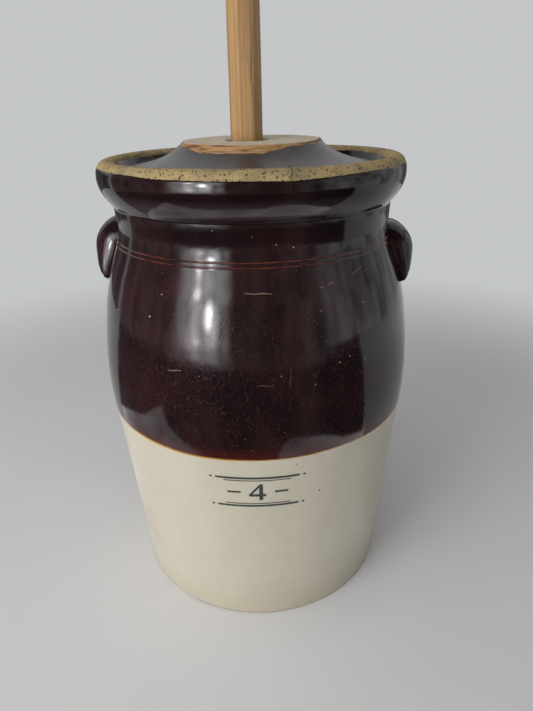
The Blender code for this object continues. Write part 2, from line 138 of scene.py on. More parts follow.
def curveThrough(pairs):  # height to radius, with each pair's slope taken from its neighbours
    slopes = []
    for i in range(len(pairs)):
        before, after = pairs[max(i - 1, 0)], pairs[min(i + 1, len(pairs) - 1)]
        slopes.append((after[1] - before[1]) / (after[0] - before[0]))
    heights = np.array([p[0] for p in pairs])
    radii = np.array([p[1] for p in pairs])
    slopes = np.array(slopes)

    def radiusAt(height):
        height = np.asarray(height, float)
        i = np.clip(np.searchsorted(heights, height, side="right") - 1, 0, len(pairs) - 2)
        span = heights[i + 1] - heights[i]
        t = np.clip((height - heights[i]) / span, 0.0, 1.0)
        return (
            radii[i] * (1 + 2 * t) * (1 - t) ** 2
            + radii[i + 1] * t * t * (3 - 2 * t)
            + slopes[i] * span * t * (1 - t) ** 2
            - slopes[i + 1] * span * t * t * (1 - t)
        )

    return radiusAt


def bezier(p0, p1, p2, p3, steps):  # (radius, height) pairs after p0, up to p3
    t = np.arange(1, steps + 1)[:, None] / steps
    p0, p1, p2, p3 = map(np.array, (p0, p1, p2, p3))
    curve = (1 - t) ** 3 * p0 + 3 * t * (1 - t) ** 2 * p1 + 3 * t * t * (1 - t) * p2 + t ** 3 * p3
    return [tuple(p) for p in curve]


def arc(centre, radius, start, end, steps):  # degrees, from outwards towards up
    turns = np.radians(np.linspace(start, end, steps + 1))
    return [(centre[0] + radius * math.cos(a), centre[1] + radius * math.sin(a)) for a in turns]


def gridMesh(name, rings, startPoint=None, endPoint=None, joinRings=False):
    # Skins rings of points, each closed round; the first and last ring end in a point or meet each other
    count, around = rings.shape[:2]
    index = np.arange(count * around).reshape(count, around)
    upper = np.roll(index, -1, axis=0) if joinRings else index[1:]
    lower = index if joinRings else index[:-1]
    quads = np.stack([lower, np.roll(lower, -1, 1), np.roll(upper, -1, 1), upper], -1).reshape(-1, 4)
    faces = quads.tolist()
    points = rings.reshape(-1, 3).tolist()
    if startPoint is not None:
        points.append(startPoint)
        faces += [(len(points) - 1, int(b), int(a)) for a, b in zip(index[0], np.roll(index[0], -1))]
    if endPoint is not None:
        points.append(endPoint)
        faces += [(int(a), int(b), len(points) - 1) for a, b in zip(index[-1], np.roll(index[-1], -1))]
    mesh = bpy.data.meshes.new(name)
    mesh.from_pydata(points, [], faces)
    mesh.shade_smooth()
    return mesh


def setAttribute(mesh, name, values):  # one number for each point, read by the material
    layer = mesh.attributes.new(name, "FLOAT", "POINT")
    padded = np.zeros(len(mesh.vertices), np.float32)
    padded[:len(values)] = values
    layer.data.foreach_set("value", padded)


def gridFaces(index):  # between neighbouring rows and columns of point numbers
    corners = [index[:-1, :-1], index[1:, :-1], index[1:, 1:], index[:-1, 1:]]
    return np.stack(corners, -1).reshape(-1, 4).tolist()


def addObject(name, data):
    made = bpy.data.objects.new(name, data)
    bpy.context.scene.collection.objects.link(made)
    return made


def addPiece(name, mesh, materials, body):
    piece = addObject(name, mesh)
    for material in materials:
        mesh.materials.append(material)
    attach(piece, body)
    return piece


# Glazes and clay

glazeLook = {
    "deep": "#1b1113",
    "warm": "#2d181b",
    "streak": "#3f2a2c",
    "speck": "#8a4a2a",
    "pit": "#8f8079",
    "scratch": "#66504c",
    "grit": "#6b4f49",
    "gritSpacing": 3.2 * mm,
    "thick": "#130b0c",
    # pale mauve grey for under the rim: a painted reflection of the pale floor
    "thin": "#3c3133",
    "cloudSize": 32 * mm,
    "streakWidth": 1.7 * mm,
    "streakLength": 60 * mm,
    "speckSpacing": 5 * mm,
    "pitSpacing": 9 * mm,
    "scratchSpacing": 6 * mm,
    "scratchedFrom": (175 * mm, 215 * mm, 270 * mm, 330 * mm),  # heights where use has scratched it most
    "peelSize": 3.5 * mm,
    "rippleSize": 18 * mm,
    "roughness": 0.09,
}


def brownGlaze(tree, place, polish=glazeLook["roughness"]):
    # Iron-brown slip glaze, poured on and fired glossy: near black where thick, red-brown where thin,
    # with orange iron specks, pinholes and fine pale scratches from use. Specks and scratches are
    # drawn about twice as wide as real ones, so that they show at this size.
    look = glazeLook
    clouds = noise(tree, place, look["cloudSize"], 3.0)
    ground = wash(tree, look["deep"], look["warm"], clouds, 0.38, 0.66)
    drawn = addNode(
        tree, "Mapping",
        {"Scale": (1 / look["streakWidth"], 1 / look["streakWidth"], 1 / look["streakLength"])},
        {"Vector": place},
    )
    streaks = addNode(tree, "TexNoise", {"Scale": 1.0, "Detail": 4.0, "Roughness": 0.6}, {"Vector": drawn})
    colour = wash(tree, ground, look["streak"], streaks, 0.50, 0.80, 0.0, 0.35)

    speckShare = dots(tree, place, look["speckSpacing"], (0.05, 0.10), (0.64, 0.72), 0.6)
    colour = blend(tree, speckShare, colour, look["speck"])

    pitShare = dots(tree, place, look["pitSpacing"], (0.03, 0.06), (0.55, 0.68), 0.8)
    colour = blend(tree, pitShare, colour, look["pit"])

    scratchShares = []
    for turn, stretch, keep in (
        ((0.3, 0.2, 0.5), (1.0, 1.0, 0.40), 0.50), ((1.1, 0.7, 2.1), (1.0, 0.45, 1.4), 0.50),
    ):
        turned = addNode(
            tree, "Mapping", {"Rotation": turn, "Scale": tuple(s / look["scratchSpacing"] for s in stretch)},
            {"Vector": place},
        )
        cells = addNode(tree, "TexVoronoi", {"feature": "DISTANCE_TO_EDGE", "Scale": 1.0}, {"Vector": turned})
        line = remap(tree, cells, 0.006, 0.026, 1.0, 0.0)
        patches = addNode(tree, "TexNoise", {"Scale": 3.2, "Detail": 2.0}, {"Vector": turned})
        patch = remap(tree, patches, keep, keep + 0.16, 0.0, 0.34)
        scratchShares.append(combine(tree, "MULTIPLY", line, patch))
    scratchShare = combine(tree, "MAXIMUM", scratchShares[0], scratchShares[1])
    height = addNode(tree, "SeparateXYZ", {}, {"Vector": place}).outputs["Z"]
    low, lowFull, highFull, high = look["scratchedFrom"]
    rising = remap(tree, height, low, lowFull, 0.4)
    falling = remap(tree, height, highFull, high, 1.0, 0.12)
    used = combine(tree, "MULTIPLY", rising, falling)
    gritShare = dots(tree, place, look["gritSpacing"], (0.06, 0.13), (0.42, 0.52), 1.0, 0.6)
    gritShare = combine(tree, "MULTIPLY", gritShare, used)
    scratchShare = combine(tree, "MULTIPLY", scratchShare, used)
    colour = blend(tree, scratchShare, colour, look["scratch"])
    colour = blend(tree, gritShare, colour, look["grit"])

    wear = combine(tree, "MAXIMUM", scratchShare, pitShare)
    roughness = remap(tree, wear, start=polish, end=0.35)
    peel = noise(tree, place, look["peelSize"], 1.0)
    ripple = noise(tree, place, look["rippleSize"], 1.0)
    peelHeight = combine(tree, "MULTIPLY", peel, 0.012)
    rippleHeight = combine(tree, "MULTIPLY_ADD", ripple, 0.09, peelHeight)
    height = combine(tree, "MULTIPLY_ADD", wear, -0.05, rippleHeight)
    return colour, roughness, height


clayLook = {
    "tan": "#a08a5e",
    "pale": "#b8a274",
    "dark": "#33261a",
    "grey": "#787059",
    "grain": 1.2 * mm,
    "pitSpacing": 2.5 * mm,
    "smudgeSize": 14 * mm,
}


def bareClay(tree, place):
    # Stoneware clay wiped clean of glaze before firing: sandy tan, pitted, with iron grains and grey smudges.
    # The grains are drawn about twice their real size, so that they show.
    look = clayLook
    grains = noise(tree, place, look["grain"])
    colour = wash(tree, look["tan"], look["pale"], grains, 0.4, 0.62)
    smudges = noise(tree, place, look["smudgeSize"])
    colour = wash(tree, colour, look["grey"], smudges, 0.45, 0.7, 0.0, 0.7)
    pitShare = dots(tree, place, look["pitSpacing"], (0.24, 0.40), (0.44, 0.54), 0.9)
    colour = blend(tree, pitShare, colour, look["dark"])
    grainHeight = combine(tree, "MULTIPLY", grains, 0.10)
    height = combine(tree, "MULTIPLY_ADD", pitShare, -0.22, grainHeight)
    return colour, height


creamLook = {
    "cream": "#cdc6b3",
    "cloud": "#c2baa4",
    "pale": "#d8d4c6",
    "speck": "#7d6a4c",
    "foot": "#b9ae94",
    "cloudSize": 42 * mm,
    "speckSpacing": 8 * mm,
    "peelSize": 1.5 * mm,
    "amber": "#bd8e30",
    "thinBrown": "#4c1c16",
    "amberWide": 3.3,
    "amberNarrow": 1.2,
    "redReach": 16.0,
    "cutClay": "#824436",
}


def jarGlazeMaterial():
    # Stoneware jar: glossy brown slip glaze over the shoulder, satin zinc glaze below, and bare clay
    # where the rim and the foot were wiped. An amber edge shows where the brown runs thin.
    material, tree, place = newMaterial("stonewareBrownOverCreamGlaze")
    look = creamLook
    axes = addNode(tree, "SeparateXYZ", {}, {"Vector": place})
    brown, brownRough, brownHeight = brownGlaze(tree, place)
    clay, clayHeight = bareClay(tree, place)

    clouds = noise(tree, place, look["cloudSize"], 4.0)
    cream = wash(tree, look["cream"], look["cloud"], clouds, 0.42, 0.7, 0.0, 0.6)
    grains = noise(tree, place, look["peelSize"], 3.0)
    cream = wash(tree, cream, look["pale"], grains, 0.45, 0.75, 0.0, 0.4)
    speckShare = dots(tree, place, look["speckSpacing"], (0.03, 0.07), (0.5, 0.8), 0.5)
    cream = blend(tree, speckShare, cream, look["speck"])
    cream = wash(tree, cream, look["foot"], axes.outputs["Z"], 0.0, 30 * mm, 0.4, 0.0)
    creamHeight = combine(tree, "MULTIPLY", grains, 0.02)

    # the glaze gathers on the neck and the rim; under the rim a pale mauve grey is mixed in, a painted
    # reflection of the pale floor
    up = axes.outputs["Z"]
    brown = wash(tree, brown, glazeLook["thick"], up, 345 * mm, 364 * mm, 0.0, 0.6)
    thinFrom = remap(tree, up, 365.5 * mm, 368 * mm)
    thinTo = remap(tree, up, 374 * mm, 381 * mm, 0.8, 0.0)
    thinShare = combine(tree, "MULTIPLY", thinFrom, thinTo)
    brown = blend(tree, thinShare, brown, glazeLook["thin"])

    aboveLine = attribute(tree, "aboveLine")
    edge = noise(tree, place, 5 * mm)
    edgeShift = remap(tree, edge, start=-0.35, end=0.35)
    above = combine(tree, "ADD", aboveLine, edgeShift)
    amberWidth = remap(tree, axes.outputs["X"], -0.13, 0.02, look["amberWide"], look["amberNarrow"])
    amberPlace = combine(tree, "DIVIDE", above, amberWidth)
    brown = wash(tree, brown, look["thinBrown"], above, 0.0, look["redReach"], 0.75, 0.0, smooth=True)
    brown = wash(tree, brown, look["amber"], amberPlace, 0.55, 1.15, 1.0, 0.0, smooth=True)
    cut = attribute(tree, "cutLine")
    worn = noise(tree, place, 9 * mm, 3.0)
    wornShare = remap(tree, worn, 0.36, 0.56, 0.15, 0.9)
    cutShare = combine(tree, "MULTIPLY", cut, wornShare)
    brown = blend(tree, cutShare, brown, look["cutClay"])
    brownShare = remap(tree, above, -0.2, 0.2, smooth=True)

    wiped = attribute(tree, "wipedRim")
    rag = noise(tree, place, 3 * mm, 3.0)
    ragShift = remap(tree, rag, start=-0.7, end=0.7)
    wipedEdge = combine(tree, "ADD", wiped, ragShift)
    rimShare = remap(tree, wipedEdge, -0.25, 0.25, smooth=True)
    footBare = remap(tree, axes.outputs["Z"], 0.6 * mm, 1.6 * mm, 1.0, 0.0)
    clayShare = combine(tree, "MAXIMUM", rimShare, footBare)

    colour = blend(tree, brownShare, cream, brown)
    colour = blend(tree, clayShare, colour, clay)
    roughness = remap(tree, brownShare, start=0.34, end=brownRough)
    roughness = remap(tree, clayShare, start=roughness, end=0.9)
    height = remap(tree, brownShare, start=creamHeight, end=brownHeight)
    height = remap(tree, clayShare, start=height, end=clayHeight)
    finishMaterial(tree, colour, roughness, height)
    return material


def brownGlazeMaterial():
    # The same brown slip glaze alone, for the ears: glossy, near black, with iron specks
    material, tree, place = newMaterial("brownSlipGlaze")
    colour, roughness, height = brownGlaze(tree, place)
    finishMaterial(tree, colour, roughness, height)
    return material


# Jar

jar = {
    "height": 401.0 * mm,
    "profile": (
        (0.0, 125.0), (61.0, 129.6), (143.0, 136.4), (215.0, 141.8), (276.0, 136.5), (306.0, 129.4),
        (340.0, 118.4), (364.5, 118.4),
    ),
    "heelRound": 2.5 * mm,
    "neckRadius": 118.4 * mm,
    "neckTop": 364.5 * mm,
    "bulge": (129.2 * mm, 388.0 * mm),
    "rimTop": 120.0 * mm,
    "rimUnder": ((120.4 * mm, 367.3 * mm), (129.6 * mm, 376.2 * mm)),
    "rimCrown": 8.5 * mm,
    "mouth": (113.8 * mm, 399.0 * mm),
    "seat": (109.5 * mm, 383.7 * mm),
    "bore": 100.0 * mm,
    "boreBottom": 372.0 * mm,
    "wall": 12.5 * mm,
    "floor": 14.0 * mm,
    "floorRound": 18.0 * mm,
    "lines": (333.7 * mm, 337.2 * mm),
    "lineWidth": 1.0 * mm,
    "lineDepth": 0.35 * mm,
    "glazeLine": 185.4 * mm,
    "glazeTilt": 0.0043,
    "glazeThickness": 0.22 * mm,
    # lowest bare clay on the rim's outside: (degrees, millimetres up)
    "wipedTo": (
        (-180, 395.2), (-145, 395.8), (-123, 395.0), (-111, 394.0), (-92, 393.0), (-70, 393.0),
        (-52, 394.6), (-22, 395.5), (30, 395.0), (90, 394.4), (140, 395.4), (180, 395.2),
    ),
    "wipedIn": 9.0,  # millimetres of bare clay inside the top's outer corner
    "rimTilt": 1.0 * mm,
    "around": 288,
}
sideRadius = curveThrough([(z * mm, r * mm) for z, r in jar["profile"]])


def jarOutline():
    foot = float(sideRadius(jar["heelRound"]))
    points = [(foot * share, 0.0) for share in (0.35, 0.7, 0.9)]
    points += arc((foot - jar["heelRound"], jar["heelRound"]), jar["heelRound"], -90, 0, 8)
    spans = ((5, 181, 3.0), (181, 190, 0.5), (191, 331, 2.5), (331, 340, 0.2), (341, 364.5, 1.5))
    heights = np.concatenate([np.arange(*span) for span in spans]) * mm
    cut = np.zeros(len(heights))
    for line in jar["lines"]:
        away = np.abs(heights - line) / (jar["lineWidth"] / 2)
        burr = 0.08 * mm * np.exp(-((away - 1.5) / 0.4) ** 2)
        cut += jar["lineDepth"] * np.clip(1 - away ** 2, 0, 1) - burr
    points += [(float(sideRadius(z)) - d, z) for z, d in zip(heights, cut)]
    neck = (jar["neckRadius"], jar["neckTop"])
    bulge = jar["bulge"]
    points.append(neck)
    points += bezier(neck, *jar["rimUnder"], bulge, 18)
    crownEnd = (bulge[0] - jar["rimCrown"] / 3, jar["height"])
    points += bezier(
        bulge, (bulge[0], bulge[1] + jar["rimCrown"]), crownEnd, (jar["rimTop"], jar["height"]), 20
    )
    topIndex = len(points) - 1
    mouth, seat = jar["mouth"], jar["seat"]
    points += bezier(
        points[-1], (jar["rimTop"] - 3 * mm, jar["height"]), (mouth[0] + 1.5 * mm, mouth[1] + 1.2 * mm),
        mouth, 6,
    )
    points += bezier(
        mouth, (mouth[0] - 1.2 * mm, mouth[1] - 2 * mm), (seat[0] + 0.6 * mm, seat[1] + 6 * mm), seat, 8
    )
    points += [(seat[0] - 3 * mm, seat[1]), (jar["bore"] + 2.5 * mm, seat[1])]
    points += arc((jar["bore"] + 2 * mm, seat[1] - 2 * mm), 2 * mm, 95, 180, 5)
    innerNeck = (jar["neckRadius"] - jar["wall"], 340 * mm)
    points.append((jar["bore"], jar["boreBottom"]))
    reach = (jar["boreBottom"] - innerNeck[1]) / 2
    points += bezier(
        points[-1], (jar["bore"], jar["boreBottom"] - reach), (innerNeck[0], innerNeck[1] + reach), innerNeck,
        10,
    )
    roundTop = jar["floor"] + jar["floorRound"]
    points += [(float(sideRadius(z)) - jar["wall"], z) for z in np.linspace(innerNeck[1], roundTop, 80)[1:]]
    roundCentre = (points[-1][0] - jar["floorRound"], roundTop)
    points += arc(roundCentre, jar["floorRound"], -10, -90, 8)
    points += [(roundCentre[0] * share, jar["floor"]) for share in (0.7, 0.4)]
    return np.array(points), topIndex


def throwingMarks(turn, height):  # faint ridges and an oval, as a wheel-thrown wall has
    ridges = np.sin(2 * math.pi * height / 0.031 + 1.3 * np.sin(turn + 0.4))
    swells = np.sin(2 * math.pi * height / 0.052 + 2.1 + 0.8 * np.cos(2 * turn))
    return 0.045 * mm * ridges + 0.05 * mm * swells + 0.10 * mm * np.cos(2 * turn + 0.7) - 0.15 * mm


def glazeLineAt(turn):
    slope = jar["glazeTilt"] * 0.139 * np.cos(turn)
    return jar["glazeLine"] + slope + 0.25 * mm * np.sin(5 * turn + 1) + 0.2 * mm * np.sin(11 * turn)


def wipedSway(turn):
    return 0.20 * np.sin(7 * turn) + 0.10 * np.sin(17 * turn + 1)


outline, rimTopIndex = jarOutline()
along = np.concatenate([[0], np.cumsum(np.hypot(*np.diff(outline, axis=0).T))]) / mm
rimTopAlong = along[rimTopIndex]


def wipedMeasure(turn, distance, height):  # millimetres inside the wiped band, less than 0 outside it
    degrees, up = zip(*jar["wipedTo"])
    lowest = np.interp((np.degrees(turn) + 180) % 360 - 180, degrees, up) + wipedSway(turn)
    outer = np.where(distance < rimTopAlong, 1.4 * (height / mm - lowest), 9.0)
    inner = rimTopAlong + jar["wipedIn"] + 2 * wipedSway(turn + 1) - distance
    return np.minimum(outer, inner)


def jarRings():
    turn = np.linspace(0, 2 * math.pi, jar["around"], endpoint=False)[None, :]
    radius, height = outline[:, :1], outline[:, 1:]
    distance = along[:, None]
    outside = np.arange(len(outline))[:, None] <= rimTopIndex + 4
    fade = smoothStep(height, 0, 20 * mm)
    marks = throwingMarks(turn, height) * fade
    glazed = smoothStep(height - glazeLineAt(turn), -0.2 * mm, 0.8 * mm) * jar["glazeThickness"]
    tilt = jar["rimTilt"] * np.sin(turn) * smoothStep(height, 386 * mm, 398 * mm)
    wiped = wipedMeasure(turn, distance, height + tilt)
    glazed = glazed * (1 - smoothStep(wiped, -0.4, 0.4))
    rimSway = 0.35 * mm * np.sin(2 * turn + 1.1) * smoothStep(height, 360 * mm, 395 * mm)
    shift = np.where(outside, marks + glazed - jar["glazeThickness"], marks)
    full = radius + shift * (radius > 60 * mm) + rimSway * 0.4
    lift = np.where(height > 385 * mm, 0.25 * mm * np.sin(3 * turn + 0.5) - 0.25 * mm, 0) + 0 * turn
    points = np.stack([full * np.cos(turn), full * np.sin(turn), height + lift + tilt], -1)
    aboveLine = (height - glazeLineAt(turn)) / mm
    fromLine = np.min([np.abs(height - line) for line in jar["lines"]], axis=0)
    cutLine = np.clip(1.1 - fromLine / (jar["lineWidth"] / 2), 0, 1) + 0 * turn
    return points, aboveLine, wiped + 0 * height, cutLine


def makeJar(material):
    points, aboveLine, wiped, cutLine = jarRings()
    mesh = gridMesh("jarBody", points, (0, 0, 0), (0, 0, jar["floor"]))
    mesh.set_sharp_from_angle(angle=math.radians(60))
    inside = np.arange(len(outline)) > rimTopIndex
    aboveLine = np.where(inside[:, None], 60.0, aboveLine)
    setAttribute(mesh, "aboveLine", aboveLine.ravel())
    setAttribute(mesh, "wipedRim", wiped.ravel())
    setAttribute(mesh, "cutLine", np.where(inside[:, None], 0.0, cutLine).ravel())
    mesh.attributes["aboveLine"].data[len(mesh.vertices) - 1].value = 60.0
    mesh.attributes["wipedRim"].data[len(mesh.vertices) - 2].value = -50.0
    mesh.attributes["wipedRim"].data[len(mesh.vertices) - 1].value = -50.0
    piece = addPiece("jarBody", mesh, (material,), "jar")
    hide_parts("churn_jar")


# Places on the jar's outside, for marks that follow its surface

outerAlong = along[:rimTopIndex + 8] * mm
outerPoints = outline[:rimTopIndex + 8]


def alongAt(height):  # distance along the outline at a height on the side
    side = outerPoints[:, 1] < jar["neckTop"]
    return float(np.interp(height, outerPoints[side, 1], outerAlong[side]))


def outlineAt(distance):  # radius and height
    return [float(np.interp(distance, outerAlong, outerPoints[:, k])) for k in (0, 1)]


def onJar(turn, distance, lift):
    radius, height = outlineAt(distance)
    step = 0.4 * mm
    (r0, z0), (r1, z1) = outlineAt(distance - step), outlineAt(distance + step)
    dr, dz = r1 - r0, z1 - z0
    size = math.hypot(dr, dz)
    radius += throwingMarks(turn, height) + lift * dz / size
    height += -lift * dr / size
    return Vector((radius * math.cos(turn), radius * math.sin(turn), height))


def stripMesh(name, strips):
    # Thin closed strips on the jar. A strip is a list of (degrees, distance, half width, lift)
    mesh = bpy.data.meshes.new(name)
    points, faces = [], []
    for strip in strips:
        path = [(math.radians(d), s) for d, s, _w, _l in strip]
        start = len(points)
        for i, (turn, distance) in enumerate(path):
            half, lift = strip[i][2], strip[i][3]
            before, after = path[max(i - 1, 0)], path[min(i + 1, len(path) - 1)]
            radius = outlineAt(distance)[0]
            tangent = Vector(((after[0] - before[0]) * radius, after[1] - before[1])).normalized()
            for side, rise in ((-1, -0.12 * mm), (-0.8, lift), (0.8, lift), (1, -0.12 * mm)):
                across = -tangent.y * side * half, tangent.x * side * half
                points.append(onJar(turn + across[0] / radius, distance + across[1], rise))
        for i in range(len(path) - 1):
            for k in range(4):
                a, b = start + 4 * i + k, start + 4 * i + (k + 1) % 4
                faces.append((a, a + 4, b + 4, b))
        faces.append((start, start + 1, start + 2, start + 3))
        end = start + 4 * (len(path) - 1)
        faces.append((end + 3, end + 2, end + 1, end))
    mesh.from_pydata(points, [], faces)
    shape = bmesh.new()
    shape.from_mesh(mesh)
    bmesh.ops.recalc_face_normals(shape, faces=shape.faces)
    shape.to_mesh(mesh)
    shape.free()
    return mesh


print("jar profile ready")

jarMaterial = jarGlazeMaterial()
earGlaze = brownGlazeMaterial()
makeJar(jarMaterial)
print("jar made")


# Ears

ears = {
    "earHoodRight": {
        "node": "ear_right", "middle": 3.7, "halfSpan": 12.9,  # degrees
        "top": 345.1 * mm, "lip": 322.4 * mm, "tip": 294.4 * mm, "face": 141.7 * mm,
    },
    "earHoodLeft": {
        "node": "ear_left", "middle": 179.5, "halfSpan": 11.9,
        "top": 351.0 * mm, "lip": 327.4 * mm, "tip": 295.4 * mm, "face": 145.3 * mm,
    },
}
ear = {
    "tipLength": 16.0 * mm,
    "rounding": 28.5 * mm,
    "archPower": 3.0,
    "lipPower": 1.4,
    "sidePower": 0.9,
    "clay": 6.5 * mm,
    "legClay": 10.0 * mm,
    "sunk": 2.5 * mm,
    "voxel": 0.8 * mm,
    "edge": 0.6 * mm,
    "wave": 0.15 * mm,
    "columns": 56,
    "rows": 30,
}


def archShare(across, power=ear["archPower"]):
    return np.clip(1 - np.abs(across) ** power, 0, 1) ** (1 / power)


def hoodRadius(across, height, high, face):
    inside = sideRadius(height) + ear["edge"]
    rise = np.sqrt(1 - (1 - np.clip((high - height) / ear["rounding"], 0, 1)) ** 2)
    side = archShare(across) ** ear["sidePower"]
    return inside + np.clip(face - inside, 0, None) * rise * side


def earGrid(one, halfSpan, top, lip, tip, faceDrop):
    across = -np.cos(np.linspace(0, math.pi, ear["columns"]))[None, :]
    fall = archShare(across)
    high = tip + ear["tipLength"] + (top - tip - ear["tipLength"]) * fall
    low = tip + (lip - tip) * archShare(across, ear["lipPower"])
    height = high + (low - high) * np.linspace(0, 1, ear["rows"])[:, None]
    shrink = halfSpan / one["halfSpan"]
    radius = hoodRadius(across * shrink, height, high + faceDrop, one["face"]) - faceDrop
    return np.radians(across * halfSpan) + 0 * height, height, radius


def addSlab(name, grid, middle, depth):  # closed, from a grid back to a depth under the jar's side
    turn, height, front = grid
    turn, back = turn + middle, sideRadius(height) - depth
    rows, columns = height.shape
    points = [
        np.stack([r * np.cos(turn), r * np.sin(turn), height], -1).reshape(-1, 3) for r in (front, back)
    ]
    index = np.arange(rows * columns).reshape(rows, columns)
    faces = gridFaces(index) + [face[::-1] for face in gridFaces(index + rows * columns)]
    edge = np.concatenate([index[0], index[1:, -1], index[-1, -2::-1], index[-2:0:-1, 0]])
    for a, b in zip(edge, np.roll(edge, -1)):
        faces.append((int(a), int(b), int(b) + rows * columns, int(a) + rows * columns))
    mesh = bpy.data.meshes.new(name)
    mesh.from_pydata(np.concatenate(points).tolist(), [], faces)
    mesh.validate()
    return addObject(name, mesh)


def keepLargest(mesh):  # drops slivers that the cut left beside the ear
    shape = bmesh.new()
    shape.from_mesh(mesh)
    left, largest = set(shape.verts), []
    while left:
        island = [left.pop()]
        for point in island:
            for edge in point.link_edges:
                other = edge.other_vert(point)
                if other in left:
                    left.remove(other)
                    island.append(other)
        largest = max(largest, island, key=len)
    kept = set(largest)
    bmesh.ops.delete(shape, geom=[point for point in shape.verts if point not in kept], context="VERTS")
    shape.to_mesh(mesh)
    shape.free()


def makeEar(name):
    one = ears[name]
    middle, clay = math.radians(one["middle"]), ear["clay"]
    hood = earGrid(one, one["halfSpan"], one["top"], one["lip"], one["tip"], 0.0)
    body = addSlab(name, hood, middle, ear["sunk"])
    hollowSpan = one["halfSpan"] - math.degrees(ear["legClay"] / float(sideRadius(one["lip"])))
    hollow = earGrid(one, hollowSpan, one["top"] - clay, one["tip"] - clay, one["tip"] - 2 * clay, clay)
    cutter = addSlab(name + "Cutter", hollow, middle, 2 * clay)
    cut = body.modifiers.new("hollow", "BOOLEAN")
    cut.object = cutter
    cut.solver = "EXACT"
    skin = body.modifiers.new("softClay", "REMESH")
    skin.mode = "VOXEL"
    skin.voxel_size = ear["voxel"]
    soften = body.modifiers.new("thumbed", "SMOOTH")
    soften.iterations = 7
    soften.factor = 0.6
    bpy.context.view_layer.update()
    evaluated = body.evaluated_get(bpy.context.evaluated_depsgraph_get())
    mesh = bpy.data.meshes.new_from_object(evaluated)
    for made in (body, cutter):
        bpy.data.objects.remove(made, do_unlink=True)
    keepLargest(mesh)
    points = np.empty(len(mesh.vertices) * 3, np.float32)
    mesh.vertices.foreach_get("co", points)
    points = points.reshape(-1, 3)
    wave = ear["wave"] * (
        np.sin(points[:, 2] / 0.0046 + points[:, 1] / 0.009) + np.sin(points[:, 1] / 0.0062 + 1.3)
    )
    out = np.hypot(points[:, 0], points[:, 1])
    proud = smoothStep(out - sideRadius(points[:, 2]), 1 * mm, 5 * mm)
    points[:, :2] *= (1 + (wave - 0.2 * mm) * proud / out)[:, None]
    mesh.vertices.foreach_set("co", points.ravel())
    mesh.materials.clear()
    mesh.shade_smooth()
    piece = addPiece(name, mesh, (earGlaze,), "jar")
    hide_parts(one["node"])


makeEar("earHoodRight")
makeEar("earHoodLeft")
print("ears made")


# Lid

lid = {
    "bottom": 384.0 * mm,
    "height": 28.0 * mm,
    "topRadius": 59.0 * mm,
    "topRound": 2.0 * mm,
    "flangeRadius": 106.5 * mm,
    "flangeThickness": 9.0 * mm,
    "flangeRound": 3.5 * mm,
    "coveFoot": (22.0 * mm, 3.3 * mm),
    "coveHead": (8.8 * mm, 9.2 * mm),
    "wall": 9.5 * mm,
    "seatWidth": 13.0 * mm,
    "ceilingSweep": 6.5 * mm,
    "holeRadius": 18.0 * mm,
    "holeOffset": -3.5 * mm,
    "holeRound": 1.2 * mm,
    # where the glaze was wiped off below the top's corner: (degrees, millimetres down)
    "wiped": (
        (-180, 2.5), (-150, 3.5), (-132, 6.0), (-120, 8.5), (-76, 8.6), (-66, 6.4), (-56, 3.2), (-31, 2.4),
        (-26, 3.6), (-21, 2.2), (20, 2.2), (70, 3.0), (110, 4.5), (150, 3.0), (180, 2.5),
    ),
    "topRise": (0.25 * mm, 1.45 * mm),  # the disc's lift and its tilt, higher at the back
    "top": "#d4caba",
    "topWarm": "#cdb590",
    "topDark": "#a08f78",
    "edge": "#b8905f",
    "edgeDark": "#5f3c22",
    "greyVeil": "#8f8a84",
    "polish": 0.28,
    "around": 384,
    # drips at the cove's foot: (degrees, millimetres out, up, degrees wide, millimetres deep)
    "drips": (
        (-112, 91, 0.6, 3, 2.0), (-103, 94, 0.5, 4, 1.4), (-96, 92, 0.6, 2.2, 1.8), (-88, 96, 0.45, 5, 1.3),
        (-60, 97, 0.4, 3, 1.5),
    ),
}


def lidOutline():
    base, top = lid["bottom"], lid["bottom"] + lid["height"]
    hole, soft = lid["holeRadius"], lid["holeRound"]
    ceiling = top - lid["wall"]
    points = [(hole, ceiling + soft)]
    points += [(hole, z) for z in np.linspace(ceiling + soft, top - soft, 6)[1:]]
    points += arc((hole + soft, top - soft), soft, 180, 90, 5)[1:]
    points += [(r, top) for r in np.arange(hole + 2.5 * mm, lid["topRadius"] - 2.5 * mm, 1.5 * mm)]
    cornerIndex = len(points)
    points += arc((lid["topRadius"] - lid["topRound"], top - lid["topRound"]), lid["topRound"], 90, 30, 6)
    coveTop = points[-1]
    flangeEdge = lid["flangeRadius"] - lid["flangeRound"]
    shoulder = base + lid["flangeThickness"] - lid["flangeRound"]
    coveEnd = arc((flangeEdge, shoulder), lid["flangeRound"], 80, 80, 0)[0]
    foot, head = lid["coveFoot"], lid["coveHead"]
    points += bezier(
        coveTop, (coveTop[0] + head[0], coveTop[1] - head[1]), (coveEnd[0] - foot[0], coveEnd[1] + foot[1]),
        coveEnd, 64,
    )
    points += arc((flangeEdge, shoulder), lid["flangeRound"], 70, 0, 8)
    half = lid["flangeRound"] / 2
    points += arc((flangeEdge + half, base + half), half, 0, -90, 5)
    seatInner = lid["flangeRadius"] - lid["seatWidth"]
    points += [(r, base) for r in np.linspace(flangeEdge, seatInner, 5)]
    ceilingEdge = (lid["topRadius"] - lid["wall"], ceiling)
    sweep = lid["ceilingSweep"]
    points += bezier(
        points[-1], (seatInner - lid["wall"], base + sweep), (ceilingEdge[0] + lid["wall"], ceiling - sweep),
        ceilingEdge, 16,
    )
    points += [(r, ceiling) for r in np.linspace(ceilingEdge[0], hole + soft, 8)[1:]]
    points += arc((hole + soft, ceiling + soft), soft, 270, 190, 4)[1:]
    return np.array(points), cornerIndex


